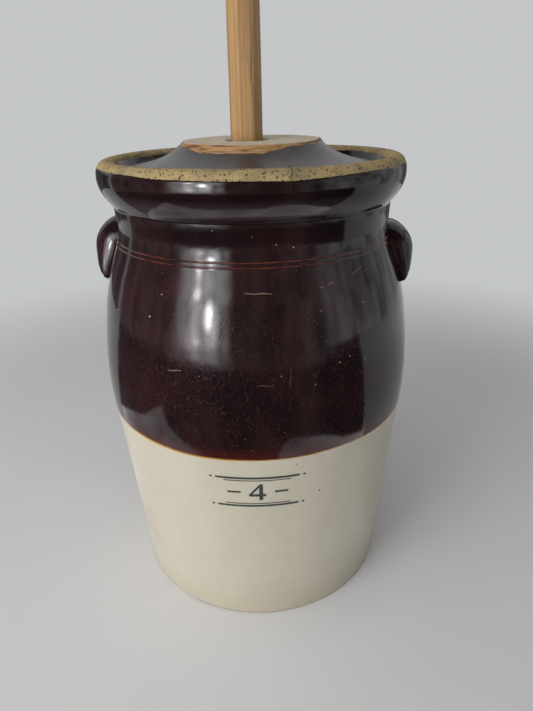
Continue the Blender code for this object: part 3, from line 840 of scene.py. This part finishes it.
def makeLid(material):
    points, cornerIndex = lidOutline()
    turn = np.linspace(-math.pi, math.pi, lid["around"], endpoint=False)[None, :]
    radius, height = points[:, :1], points[:, 1:]
    distance = np.concatenate([[0], np.cumsum(np.hypot(*np.diff(points, axis=0).T))])[:, None]
    fromCorner = (distance - distance[cornerIndex]) / mm
    shift = lid["holeOffset"] * (1 - smoothStep(radius, lid["holeRadius"] + 2 * mm, 48 * mm))
    upper = fromCorner < 90
    onCove = smoothStep(fromCorner, 2, 14) * upper
    swell = 0.14 * mm * np.sin(2 * turn + 0.6) * np.sin(radius / 0.011)
    swell = swell + 0.10 * mm * np.sin(5 * turn + radius / 0.006)
    drips = sum(
        rise * mm * np.exp(-((np.degrees(turn) - at) / wide) ** 2 - ((radius - out * mm) / (deep * mm)) ** 2)
        for at, out, rise, wide, deep in lid["drips"]
    )
    height = height + onCove * (swell + drips)
    onTop = smoothStep(radius, 22 * mm, 30 * mm) * (fromCorner < 3) * upper
    height = height + onTop * 0.12 * mm * (np.sin(3 * turn + 1) + np.sin(radius / 0.007))
    height = height - 0.3 * mm * upper * (1 - smoothStep(radius, 60 * mm, 95 * mm))
    rise, lean = lid["topRise"]
    disc = upper * (1 - smoothStep(radius, lid["topRadius"], 95 * mm))
    height = height + disc * (rise + lean * np.sin(turn) * np.minimum(radius / lid["topRadius"], 1.0))
    cornerWaves = 0.35 * mm * np.sin(7 * turn + 0.3) + 0.25 * mm * np.sin(13 * turn)
    radius = radius + cornerWaves * np.exp(-(fromCorner / 6) ** 2)
    rings = np.stack([radius * np.cos(turn) + shift, radius * np.sin(turn), height], -1)
    mesh = gridMesh("guideLid", rings[:, ::-1], joinRings=True)
    degrees, down = zip(*lid["wiped"])
    wiped = np.interp(np.degrees(turn), degrees, down) + 0.35 * np.sin(23 * turn) - fromCorner
    wiped = np.where(upper, wiped, -30.0)
    setAttribute(mesh, "wipedLid", wiped[:, ::-1].ravel())
    setAttribute(mesh, "fromCorner", (fromCorner + 0 * turn)[:, ::-1].ravel())
    piece = addPiece("guideLid", mesh, (material,), "lid")
    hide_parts("churn_lid")


def lidMaterial():
    # Glazed stoneware lid whose flat top was wiped bare and has greyed with handling: dull and dusty on
    # top, warm orange clay with dark streaks at the wiped corner, glossy brown glaze below
    material, tree, place = newMaterial("wipedStonewareLid")
    brown, brownRough, brownHeight = brownGlaze(tree, place, lid["polish"])
    # a grey veil in patches over the brown glaze
    greyVeil = remap(tree, noise(tree, place, 25 * mm), start=0.04, end=0.24)
    brown = blend(tree, greyVeil, brown, lid["greyVeil"])
    dust = noise(tree, place, 11 * mm, 4.0)
    top = wash(tree, lid["top"], lid["topWarm"], dust, 0.42, 0.68)
    grains = noise(tree, place, 1.5 * mm)
    top = wash(tree, top, lid["topDark"], grains, 0.55, 0.75, 0.0, 0.55)
    fromCorner = attribute(tree, "fromCorner")
    flat = addNode(
        tree, "Mapping", {"Scale": (1 / (16 * mm), 1 / (16 * mm), 1 / (1.1 * mm))}, {"Vector": place}
    )
    streaks = addNode(tree, "TexNoise", {"Scale": 1.0, "Detail": 3.0}, {"Vector": flat})
    edge = wash(tree, lid["edge"], lid["edgeDark"], streaks, 0.47, 0.60, 0.0, 0.85)
    edgeNoise = remap(tree, dust, start=-1.6, end=1.6)
    edgePlace = combine(tree, "ADD", fromCorner, edgeNoise)
    bare = wash(tree, top, edge, edgePlace, -1.2, 0.6, smooth=True)
    wiped = attribute(tree, "wipedLid")
    rag = noise(tree, place, 4 * mm, 3.0)
    ragShift = remap(tree, rag, start=-0.8, end=0.8)
    wipedEdge = combine(tree, "ADD", wiped, ragShift)
    bareShare = remap(tree, wipedEdge, -0.2, 0.25, smooth=True)
    colour = blend(tree, bareShare, brown, bare)
    roughness = remap(tree, bareShare, start=brownRough, end=0.8)
    bareHeight = combine(tree, "MULTIPLY", grains, 0.08)
    height = remap(tree, bareShare, start=brownHeight, end=bareHeight)
    finishMaterial(tree, colour, roughness, height)
    return material


makeLid(lidMaterial())
print("lid made")


# Dasher staff

staff = {
    "axis": (-3.5 * mm, 0.0),
    "bottom": 15.3 * mm,
    "shoulder": 30.6 * mm,
    "top": 790.0 * mm,
    "width": 26.6 * mm,
    "topWidth": 24.0 * mm,
    "taperFrom": 410.0 * mm,
    "endRound": 5.0 * mm,
    "tenonRadius": 9.0 * mm,
    "turn": -102.9,
    "cornerWear": (0.3, 0.5, 0.9, 0.7, 0.5, 0.8, 0.4, 0.6),  # millimetres worn off each corner
    "around": 96,
    "light": "#bf9a69",
    "mid": "#a67f52",
    "dark": "#7c5730",
    "pore": "#5f3f20",
    "grainWidth": 1.1 * mm,
    "grainLength": 60 * mm,
    # a split, a knot and nicks seen above the lid: (degrees, height mm, degrees wide, mm tall, depth mm)
    "nicks": (
        (-56, 465, 4, 8, 0.8), (-58, 459, 3, 5, 0.7), (-104, 481, 6, 1.2, 0.5), (-118, 502, 7, 3, 0.35),
        (-99, 429, 12, 0.8, 0.25),
    ),
}


def staffRadius(turn, height):
    # A shaved octagon: each flat wanders a little, each corner is worn by its own amount
    width = staff["width"] + (staff["topWidth"] - staff["width"]) * np.clip(
        (height - staff["taperFrom"]) / (staff["top"] - staff["taperFrom"]), 0, 1
    )
    start = math.radians(staff["turn"])
    octant = ((turn - start) % (2 * math.pi)) / (math.pi / 4)
    flat = np.floor(octant).astype(int) % 8
    inFlat = (octant - np.floor(octant) - 0.5) * math.pi / 4
    wander = 0.16 * mm * np.sin(height / 0.045 + flat * 1.9) + 0.10 * mm * np.sin(height / 0.017 + flat * 2.7)
    radius = (width / 2 + wander) / np.cos(inFlat)
    nearest = np.round(octant).astype(int) % 8
    wear = np.array(staff["cornerWear"])[nearest] * mm
    limit = width / 2 / math.cos(math.pi / 8) - wear
    ratio = (radius - limit) / (0.5 * mm)
    return np.where(
        ratio > 0, limit + 0.5 * mm * (1 - np.exp(-np.clip(ratio, 0, 9))) * 0.35, np.minimum(radius, limit)
    )


def makeStaff(material):
    turn = np.linspace(0, 2 * math.pi, staff["around"], endpoint=False)[None, :]
    shoulder, top, soft = staff["shoulder"], staff["top"], staff["endRound"]
    spans = ((shoulder / mm + 1, 405, 4.0), (405, 520, 1.0), (520, (top - soft) / mm, 3.0))
    heights = np.concatenate([np.arange(*span) for span in spans])[:, None] * mm
    rings = []
    for z in (staff["bottom"], staff["bottom"] + 6 * mm, shoulder):
        rings.append(np.stack([staff["tenonRadius"] + 0 * turn, z + 0 * turn], -1)[0])
    rings.append(np.stack([staffRadius(turn, shoulder) - 0.8 * mm, shoulder + 0 * turn], -1)[0])
    body = staffRadius(turn, heights)
    rings += [np.stack([r, z + 0 * r], -1) for r, z in zip(body, heights[:, 0])]
    for angle in np.radians(np.linspace(0, 90, 9)):
        inset = soft * (1 - math.cos(angle))
        radius = staffRadius(turn, top) - inset
        rings.append(np.stack([radius, top - soft * (1 - math.sin(angle)) + 0 * radius], -1)[0])
    rings.append(rings[-1] * np.array([0.5, 1.0]))
    table = np.array(rings)
    radius, height = table[:, :, 0], table[:, :, 1].copy()
    height[-2:] += 0.3 * mm * (1 - radius[-2:] / (staff["topWidth"] / 2))
    height[-2:] -= 0.4 * mm
    for at, z, wide, tall, depth in staff["nicks"]:
        away = (np.degrees(turn) - at + 180) % 360 - 180
        radius = radius - depth * mm * np.exp(-(away / wide) ** 2 - ((height - z * mm) / (tall * mm)) ** 2)
    points = np.stack([radius * np.cos(turn) + staff["axis"][0], radius * np.sin(turn), height], -1)
    mesh = gridMesh(
        "shavedStaff", points, (staff["axis"][0], 0, staff["bottom"]), (staff["axis"][0], 0, top - 0.1 * mm)
    )
    mesh.set_sharp_from_angle(angle=math.radians(50))
    piece = addPiece("shavedStaff", mesh, (material,), "dasher")
    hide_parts("dasher_staff")


def woodMaterial(name, look, along, marks=()):
    # Hand-shaved hardwood, oiled by hands and cream: straight grain, fine dark pores, soft satin flats.
    # along is the grain's direction. Pores are drawn about twice their real width.
    material, tree, place = newMaterial(name)
    narrow, long = 1 / look["grainWidth"], 1 / look["grainLength"]
    stretch = tuple(long if i == along else narrow for i in range(3))
    drawn = addNode(tree, "Mapping", {"Scale": stretch}, {"Vector": place})
    bends = noise(tree, place, 30 * mm, 1.0)
    bent = addNode(
        tree, "MixRGB", {"blend_type": "ADD", "Fac": 1.0},
        {"Color1": drawn, "Color2": bends.outputs["Color"]},
    )
    rings = addNode(tree, "TexNoise", {"Scale": 0.35, "Detail": 3.0, "Roughness": 0.55}, {"Vector": bent})
    colour = wash(tree, look["light"], look["mid"], rings, 0.38, 0.62)
    grain = addNode(tree, "TexNoise", {"Scale": 1.0, "Detail": 4.0, "Roughness": 0.65}, {"Vector": bent})
    colour = wash(tree, colour, look["dark"], grain, 0.55, 0.75, 0.0, 0.75)
    pores = addNode(tree, "TexVoronoi", {"Scale": 1.3}, {"Vector": drawn})
    colour = wash(tree, colour, look["pore"], pores.outputs["Distance"], 0.10, 0.22, 0.6, 0.0)
    for centre, size, strength in marks:
        away = addNode(tree, "VectorMath", {"operation": "SUBTRACT", 1: centre}, {0: place})
        scaled = addNode(tree, "VectorMath", {"operation": "DIVIDE", 1: size}, {0: away})
        near = addNode(tree, "VectorMath", {"operation": "LENGTH"}, {0: scaled})
        colour = wash(tree, colour, look["pore"], near.outputs["Value"], 0.5, 1.0, strength, 0.0, smooth=True)
    roughness = remap(tree, grain, start=0.42, end=0.62)
    height = combine(tree, "MULTIPLY", grain, 0.12)
    finishMaterial(tree, colour, roughness, height)
    return material


staffWood = woodMaterial("shavedAsh", staff, 2)
makeStaff(staffWood)
print("staff made")


# Dasher cross, pegs and wedge: the frame's own solids with better wood

cross = {
    "light": "#b58a58",
    "mid": "#9c7246",
    "dark": "#6d4a2b",
    "pore": "#4c321c",
    "grainWidth": 1.4 * mm,
    "grainLength": 70 * mm,
}
peg = dict(cross, light="#8f6a40", mid="#7a5632", dark="#523820")


def dressNode(node, material):
    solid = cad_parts[node]
    for socket in solid.material_slots:
        socket.material = material


dressNode("cross_arm_lower", woodMaterial("maplePlankAlongX", cross, 0))
dressNode("cross_arm_upper", woodMaterial("maplePlankAlongY", cross, 1))
pegWood = woodMaterial("rivenOakPegs", peg, 2)
for node in ("cross_peg_1", "cross_peg_2", "cross_peg_3", "cross_peg_4", "tenon_wedge"):
    dressNode(node, pegWood)
print("cross dressed")


# Capacity number on the cream glaze

stamp = {
    "middle": -83.6,
    "height": 153.0 * mm,
    "barHalf": 34 * mm,
    "barDrop": 15.0 * mm,
    "barWidth": 2.0 * mm,
    "fineWidth": 0.8 * mm,
    "dot": 1.9 * mm,
    "numeral": 17 * mm,
    "stroke": 3.2 * mm,
    "lift": 0.05 * mm,
    "fineDrop": 2.6 * mm,
    "dotGap": 4 * mm,
    "dashFrom": (-25 * mm, 14 * mm),
    "dashLength": 11 * mm,
    "ink": "#212e2b",
    "wornInk": "#56635a",
}


def inkMaterial():
    # Blue-green underglaze ink, rubber stamped: dark, a little broken where the stamp pressed lightly
    material, tree, place = newMaterial("stampedUnderglazeInk")
    patches = noise(tree, place, 1.8 * mm, 3.0)
    colour = wash(tree, stamp["ink"], stamp["wornInk"], patches, 0.52, 0.72, 0.0, 0.8)
    roughness = remap(tree, patches, start=0.3, end=0.4)
    height = combine(tree, "MULTIPLY", patches, 0.01)
    finishMaterial(tree, colour, roughness, height)
    return material


def stampStrokes():
    # Flat millimetre-scale drawing (x right, y up) laid round the jar
    radius = float(sideRadius(stamp["height"]))
    middle = alongAt(stamp["height"])

    def lay(path, width, steps):
        strip = []
        for (x0, y0), (x1, y1) in zip(path, path[1:]):
            for i in range(steps):
                t = i / steps
                strip.append((x0 + (x1 - x0) * t, y0 + (y1 - y0) * t))
        strip.append(path[-1])
        return [
            (stamp["middle"] + math.degrees(x / radius), middle + y, width / 2, stamp["lift"])
            for x, y in strip
        ]

    half, drop = stamp["barHalf"], stamp["barDrop"]
    strokes = []
    for side in (-1, 1):
        y = side * drop
        strokes.append(lay([(-half, y), (half, y)], stamp["barWidth"], 24))
        fine = y - side * stamp["fineDrop"]
        strokes.append(lay([(-half * 0.8, fine), (half * 0.8, fine)], stamp["fineWidth"], 20))
        for end in (-1, 1):
            x = end * (half + stamp["dotGap"])
            strokes.append(lay([(x - stamp["dot"] / 2, y), (x + stamp["dot"] / 2, y)], stamp["dot"], 2))
    for start in stamp["dashFrom"]:
        strokes.append(lay([(start, 0.0), (start + stamp["dashLength"], 0.0)], stamp["barWidth"], 6))
    tall, stroke = stamp["numeral"], stamp["stroke"]
    right = 0.16 * tall
    foot = -0.20 * tall
    strokes.append(lay([(right, -tall / 2), (right, tall / 2)], stroke, 6))
    strokes.append(
        lay([(right - stroke * 0.1, tall / 2 - stroke * 0.2), (-0.40 * tall, foot)], stroke * 0.62, 8)
    )
    strokes.append(lay([(-0.42 * tall, foot), (0.40 * tall, foot)], stroke * 0.8, 8))
    return strokes


addPiece("capacityNumber", stripMesh("capacityNumber", stampStrokes()), (inkMaterial(),), "jar")
print("number made")


# Marks of use and firing on the jar: degrees round, height in mm

marks = {
    "scratches": (  # (degrees, mm) to (degrees, mm), half width mm
        ((-86, 317.4), (-77, 316.9), 0.42), ((-46.5, 322.3), (-41, 326.3), 0.3),
        ((-57.7, 318.6), (-55.4, 319.8), 0.3), ((-61, 317.8), (-59.3, 317.6), 0.25),
        ((-111.5, 257.6), (-106.8, 259.4), 0.4), ((-82.8, 251.5), (-77.5, 251), 0.14),
        ((-72.4, 264), (-72.7, 249), 0.11),
    ),
    "pits": (  # degrees, mm, radius mm
        (-119.6, 295.2, 1.0), (-115.3, 312.6, 0.7), (-139, 290, 0.7), (-75, 349.4, 0.6),
        (-69, 346.8, 0.7), (-61.4, 301.8, 0.5), (-44, 301, 0.6), (-52, 264, 0.6),
        (-56, 261.4, 0.7), (-45.5, 258, 0.6), (-64.7, 248, 0.5), (-75.4, 258, 0.5),
    ),
    "ironSpots": (
        (-61.6, 145.4, 0.9), (-70.6, 179, 0.6), (-79.6, 126.3, 0.45), (-60, 56, 0.5), (-61.7, 181.9, 0.5),
    ),
    "orangeSpecks": (
        (-87, 207, 0.6), (-84.8, 196.2, 0.8), (-93.7, 190.8, 0.5), (-91, 200.8, 0.6), (-63, 234.7, 0.6),
        (-68.8, 233.5, 0.45), (-74.7, 211.4, 0.6),
    ),
    "scratchColour": "#b3927a",
    "pitColour": "#b9a993",
    "ironColour": "#6e5530",
    "orangeColour": "#8d4724",
    "crackColour": "#2e2015",
}


def plainMark(name, code, roughness):
    # Bare or broken clay in a chip or crack, or an iron spot: sandy and slightly mottled
    material, tree, place = newMaterial(name)
    grains = noise(tree, place, 0.8 * mm)
    dark = tuple(c * 0.6 for c in hexColour(code)[:3]) + (1.0,)
    colour = addNode(tree, "MixRGB", {"Color1": dark, "Color2": hexColour(code)}, {"Fac": grains})
    rough = remap(tree, grains, start=roughness, end=roughness + 0.1)
    height = combine(tree, "MULTIPLY", grains, 0.03)
    finishMaterial(tree, colour, rough, height)
    return material


def spotStrips(spots):  # each spot is a short strip, widest in its middle
    strips = []
    for at, z, radius in spots:
        middle = alongAt(z * mm)
        degree = math.degrees(radius * mm / 0.135)
        strips.append([
            (at + degree * k, middle, radius * mm * math.sqrt(1.02 - k * k) * 0.9, 0.04 * mm)
            for k in (-1, -0.6, 0, 0.6, 1)
        ])
    return strips


def scratchStrips():
    strips = []
    for (a0, z0), (a1, z1), half in marks["scratches"]:
        strip = []
        for i in range(9):
            t = i / 8
            sway = 0.25 * mm * math.sin(9 * t + a0)
            width = half * mm * (0.35 + 0.65 * math.sin(math.pi * (0.1 + 0.8 * t)) * (1 if i % 3 else 0.7))
            strip.append(
                (a0 + (a1 - a0) * t, alongAt((z0 + (z1 - z0) * t) * mm) + sway, 0.7 * width, 0.03 * mm)
            )
        strips.append(strip)
    return strips


def crackStrip():  # a hairline from the mouth, over the rim and down its face
    start = float(outerAlong[rimTopIndex]) + 5 * mm
    strip = []
    for i in range(25):
        t = i / 24
        sway = 0.2 * math.sin(5 * t) + 0.12 * math.sin(17 * t)
        strip.append((-70.5 + sway - 1.0 * t, start - 26 * mm * t, (0.34 - 0.2 * t) * mm, 0.03 * mm))
    return [strip]


for name, strips, code, roughness in (
    ("glazeScratches", scratchStrips(), marks["scratchColour"], 0.5),
    ("glazePinholes", spotStrips(marks["pits"]), marks["pitColour"], 0.6),
    ("ironSpots", spotStrips(marks["ironSpots"]), marks["ironColour"], 0.4),
    ("orangeSpecks", spotStrips(marks["orangeSpecks"]), marks["orangeColour"], 0.15),
    ("rimHairline", crackStrip(), marks["crackColour"], 0.8),
):
    addPiece(name, stripMesh(name, strips), (plainMark(name + "Clay", code, roughness),), "jar")
print("marks made")


# Studio: pale floor, soft lamps, and a glowing card round the front that only the gloss sees, painting the
# room's reflection in the glaze

studio = {
    "floor": "#e9e9eb",
    "paper": "#c4c6c7",
    "worldLight": (0.34, 0.20),  # from the left, from the right
    "floorRadius": 4.0,
    "fadeFrom": 0.5,
    "fadeTo": 1.15,
    "cardRadius": 1.8,
    "cardFrom": -196,
    "cardTo": 160,
    "cardTop": ((-200, -8, -2, 44, 56, 160), (87, 87, 40, 36, 18, 18)),  # degrees round, degrees up
    "cardStep": 1.5,
    "cardCool": "#eef0f4",
    "cardWarm": "#e0a898",
    "streakSize": 0.22,
    # floor left bare between the churn and the card: (degrees, metres)
    "bareFloor": (
        (-200, 0.41), (-190, 0.42), (-163, 0.45), (-148, 0.57), (-144, 0.45), (-131, 0.35), (-117, 0.31),
        (-72, 0.31), (-67, 0.38), (-61, 0.41), (-41, 0.39), (-28, 0.35), (-9, 0.34), (-7, 1.78), (160, 1.78),
    ),
    # how bright the card's walls are: (degrees, strength); the tall panel at -121 stands for a window
    "walls": (
        (-200, 0.20), (-180, 0.30), (-150, 0.40), (-143, 0.6), (-139, 2.0), (-132, 3.4), (-127, 6.6),
        (-112, 6.6), (-108, 3.8), (-103, 2.6), (-99, 0.28), (-62, 0.24), (-56, 0.40), (-44, 0.48),
        (-41, 0.24), (-37, 0.26), (-31, 0.72), (0, 0.72), (30, 0.62), (46, 0.5), (56, 0.18), (64, 0.1),
        (160, 0.1),
    ),
    "ground": (
        (-200, 0.10), (-150, 0.06), (-135, 0.05), (-110, 0.03), (-62, 0.03), (-57, 0.12), (-47, 0.12),
        (-42, 0.02), (-8, 0.01), (-4, 0.5), (160, 0.5),
    ),
    "warmth": ((-200, 0.5), (-145, 0.8), (-138, 0.2), (-105, 0.0), (-98, 0.8), (-50, 0.6), (-35, 0.0)),
    "ceiling": 0.05,
    # bright panes in the window: (degrees, degrees up, half width, half height, strength)
    "panes": ((-123, 6, 2.5, 2.0, 4.0), (-116, 19, 3.0, 5.5, 28.0), (-125, 26, 2.5, 2.2, 24.0)),
    # the pale floor close to the churn: metres from its axis, strength, warmth
    "nearFloor": (0.16, 0.85, 0.15),
}


def makeFloor():
    turns = np.linspace(0, 2 * math.pi, 96, endpoint=False)
    rings = [
        np.stack([r * np.cos(turns), r * np.sin(turns), 0 * turns], -1)
        for r in (studio["floorRadius"], 1.0, 0.3, 0.05)
    ]
    mesh = gridMesh("paperFloor", np.array(rings), endPoint=(0, 0, 0))
    mesh.flip_normals()
    floor = addObject("paperFloor", mesh)
    # Matt paper sweep that runs out into the background
    material, tree, place = newMaterial("mattPaperSweep")
    far = addNode(tree, "VectorMath", {"operation": "LENGTH"}, {0: place}).outputs["Value"]
    reach = {"From Min": studio["fadeFrom"], "From Max": studio["fadeTo"]}
    share = addNode(tree, "MapRange", dict(reach, interpolation_type="SMOOTHSTEP"), {"Value": far})
    paper = addNode(tree, "BsdfPrincipled", {"Base Color": hexColour(studio["floor"]), "Roughness": 0.85})
    glow = addNode(tree, "Emission", {"Color": hexColour(studio["paper"]), "Strength": 1.0})
    mixed = addNode(tree, "MixShader", {}, {0: share, 1: paper, 2: glow})
    addNode(tree, "OutputMaterial", {}, {"Surface": mixed})
    mesh.materials.append(material)


def cardGlow(degrees, up):  # up is in degrees, and counts down over the floor to the card's near edge
    walls = np.interp(degrees, *zip(*studio["walls"]))
    ground = np.interp(degrees, *zip(*studio["ground"]))
    # a low dark box in the room, painted as a dim patch in the card's glow
    dim = smoothStep(degrees, -38, -36) * (1 - smoothStep(degrees, -9, -7)) * (1 - smoothStep(up, -3, 1))
    walls = walls + (0.03 - walls) * dim
    dull = np.minimum(walls, 0.8)
    glow = ground + (dull - ground) * smoothStep(up, -9, -3) + (walls - dull) * smoothStep(up, -6, 9)
    glow = glow + (studio["ceiling"] - glow) * smoothStep(up, 27, 42)
    for at, high, wide, tall, strength in studio["panes"]:
        away = ((degrees - at) / wide) ** 2 + ((up - high) / tall) ** 2
        glow = glow + strength * np.exp(-away ** 2)
    return glow


def makeCard():
    degrees = np.arange(studio["cardFrom"], studio["cardTo"] + 1, studio["cardStep"])[None, :]
    radius = studio["cardRadius"]
    near = np.interp(degrees, *zip(*studio["bareFloor"]))
    first, pale, paleWarmth = studio["nearFloor"]
    first = np.where(degrees < -9, first, 0.98 * near)
    downShare = np.linspace(0.004, 1, 24, endpoint=False)[:, None]
    ground = np.concatenate([first, near, near + (radius - near) * downShare])
    steps = np.concatenate([np.arange(0.5, 36, 1.5), np.arange(37, 89, 5.0)])[:, None]
    lift = np.radians(steps * np.interp(degrees, *studio["cardTop"]) / 87)
    flat = np.concatenate([ground, radius * np.cos(lift)])
    height = np.concatenate([2 * mm + 0 * ground, radius * np.sin(lift)])
    up = np.concatenate([-30 * (radius - ground) / radius, np.degrees(lift)])
    turn = np.radians(degrees)
    points = np.stack([flat * np.cos(turn), flat * np.sin(turn), height], -1)
    rows, columns = flat.shape
    index = np.arange(rows * columns).reshape(rows, columns)
    mesh = bpy.data.meshes.new("roomCard")
    mesh.from_pydata(points.reshape(-1, 3).tolist(), [], gridFaces(index))
    glow, warmth = cardGlow(degrees, up), np.interp(degrees, *zip(*studio["warmth"])) + 0 * flat
    glow[:2], warmth[:2] = pale, paleWarmth
    setAttribute(mesh, "cardGlow", glow.ravel())
    setAttribute(mesh, "cardWarmth", warmth.ravel())
    card = addObject("roomCard", mesh)
    card.visible_camera = False
    card.visible_diffuse = False
    card.visible_shadow = False
    card.visible_transmission = False
    # Dim card that glows in tall streaks, no lamp: it paints the room's reflection in the glaze
    material, tree, place = newMaterial("glowingRoomReflectionCard")
    tall = 1 / studio["streakSize"]
    drawn = addNode(tree, "Mapping", {"Scale": (tall, tall, tall / 6)}, {"Vector": place})
    streaks = addNode(tree, "TexNoise", {"Scale": 1.0, "Detail": 3.0}, {"Vector": drawn})
    streakLevel = {"From Min": 0.3, "From Max": 0.7, "To Min": 0.3, "To Max": 1.7}
    streak = addNode(tree, "MapRange", streakLevel, {"Value": streaks})
    glow = attribute(tree, "cardGlow")
    warmth = attribute(tree, "cardWarmth")
    strength = combine(tree, "MULTIPLY", glow, streak)
    tints = {"Color1": hexColour(studio["cardCool"]), "Color2": hexColour(studio["cardWarm"])}
    tint = addNode(tree, "MixRGB", tints, {"Fac": warmth})
    shine = addNode(tree, "Emission", {}, {"Color": tint, "Strength": strength})
    addNode(tree, "OutputMaterial", {}, {"Surface": shine})
    mesh.materials.append(material)


def addLamp(name, degrees, distance, height, size, power, colour, aim=(0, 0, 0.25)):
    data = bpy.data.lights.new(name, "AREA")
    data.shape = "RECTANGLE"
    data.size, data.size_y = size
    data.energy = power
    data.color = hexColour(colour)[:3]
    lamp = addObject(name, data)
    turn = math.radians(degrees)
    lamp.location = (distance * math.cos(turn), distance * math.sin(turn), height)
    lamp.rotation_euler = (Vector(aim) - lamp.location).to_track_quat("-Z", "Y").to_euler()
    lamp.visible_camera = False
    lamp.visible_glossy = False


def makeWorld():
    world = bpy.data.worlds.new("studioWorld")
    bpy.context.scene.world = world
    world.use_nodes = True
    tree = world.node_tree
    tree.nodes.clear()
    rays = addNode(tree, "LightPath")
    seen = combine(tree, "MAXIMUM", rays.outputs["Is Camera Ray"], rays.outputs["Is Glossy Ray"])
    seen = combine(tree, "MAXIMUM", seen, rays.outputs["Is Transmission Ray"])
    side = addNode(
        tree, "SeparateXYZ", {}, {"Vector": addNode(tree, "TexCoord").outputs["Generated"]}
    ).outputs["X"]
    left, right = studio["worldLight"]
    strength = remap(tree, side, -1.0, 1.0, left, right)
    light = addNode(tree, "Background", {"Color": hexColour("#ffffff")}, {"Strength": strength})
    shown = addNode(tree, "Background", {"Color": hexColour(studio["paper"]), "Strength": 1.0})
    mixed = addNode(tree, "MixShader", {}, {0: seen, 1: light, 2: shown})
    addNode(tree, "OutputWorld", {}, {"Surface": mixed})


makeFloor()
makeCard()
makeWorld()
addLamp("windowSoft", -129, 1.7, 0.55, (0.9, 1.1), 17.0, "#fdfcfa")
addLamp("overheadSoft", -115, 0.7, 1.9, (1.6, 1.6), 7.6, "#ffffff", aim=(0, 0, 0.3))
print("studio lit")


# Camera, set as the photograph was taken

view = {
    "place": (0.06316, -0.47977, 0.43415),
    "yaw": -6.40,
    "pitch": 24.674,
    "roll": -1.178,
    "focalPixels": 534.0,
    "frame": (533, 711),
}


def makeCamera():
    yaw, pitch, roll = (math.radians(view[k]) for k in ("yaw", "pitch", "roll"))
    forward = Vector((math.sin(yaw) * math.cos(pitch), math.cos(yaw) * math.cos(pitch), -math.sin(pitch)))
    level = Vector((math.cos(yaw), -math.sin(yaw), 0))
    up = level.cross(forward)
    right = level * math.cos(roll) + up * math.sin(roll)
    upright = up * math.cos(roll) - level * math.sin(roll)
    data = bpy.data.cameras.new("photoCamera")
    data.sensor_width = 36.0
    data.lens = view["focalPixels"] * data.sensor_width / max(view["frame"])
    data.clip_start = 0.01
    camera = addObject("photoCamera", data)
    camera.matrix_world = Matrix((right, upright, -forward)).transposed().to_4x4()
    camera.location = view["place"]
    bpy.context.scene.camera = camera


makeCamera()
bpy.context.scene.view_settings.view_transform = "Standard"
print("camera placed")
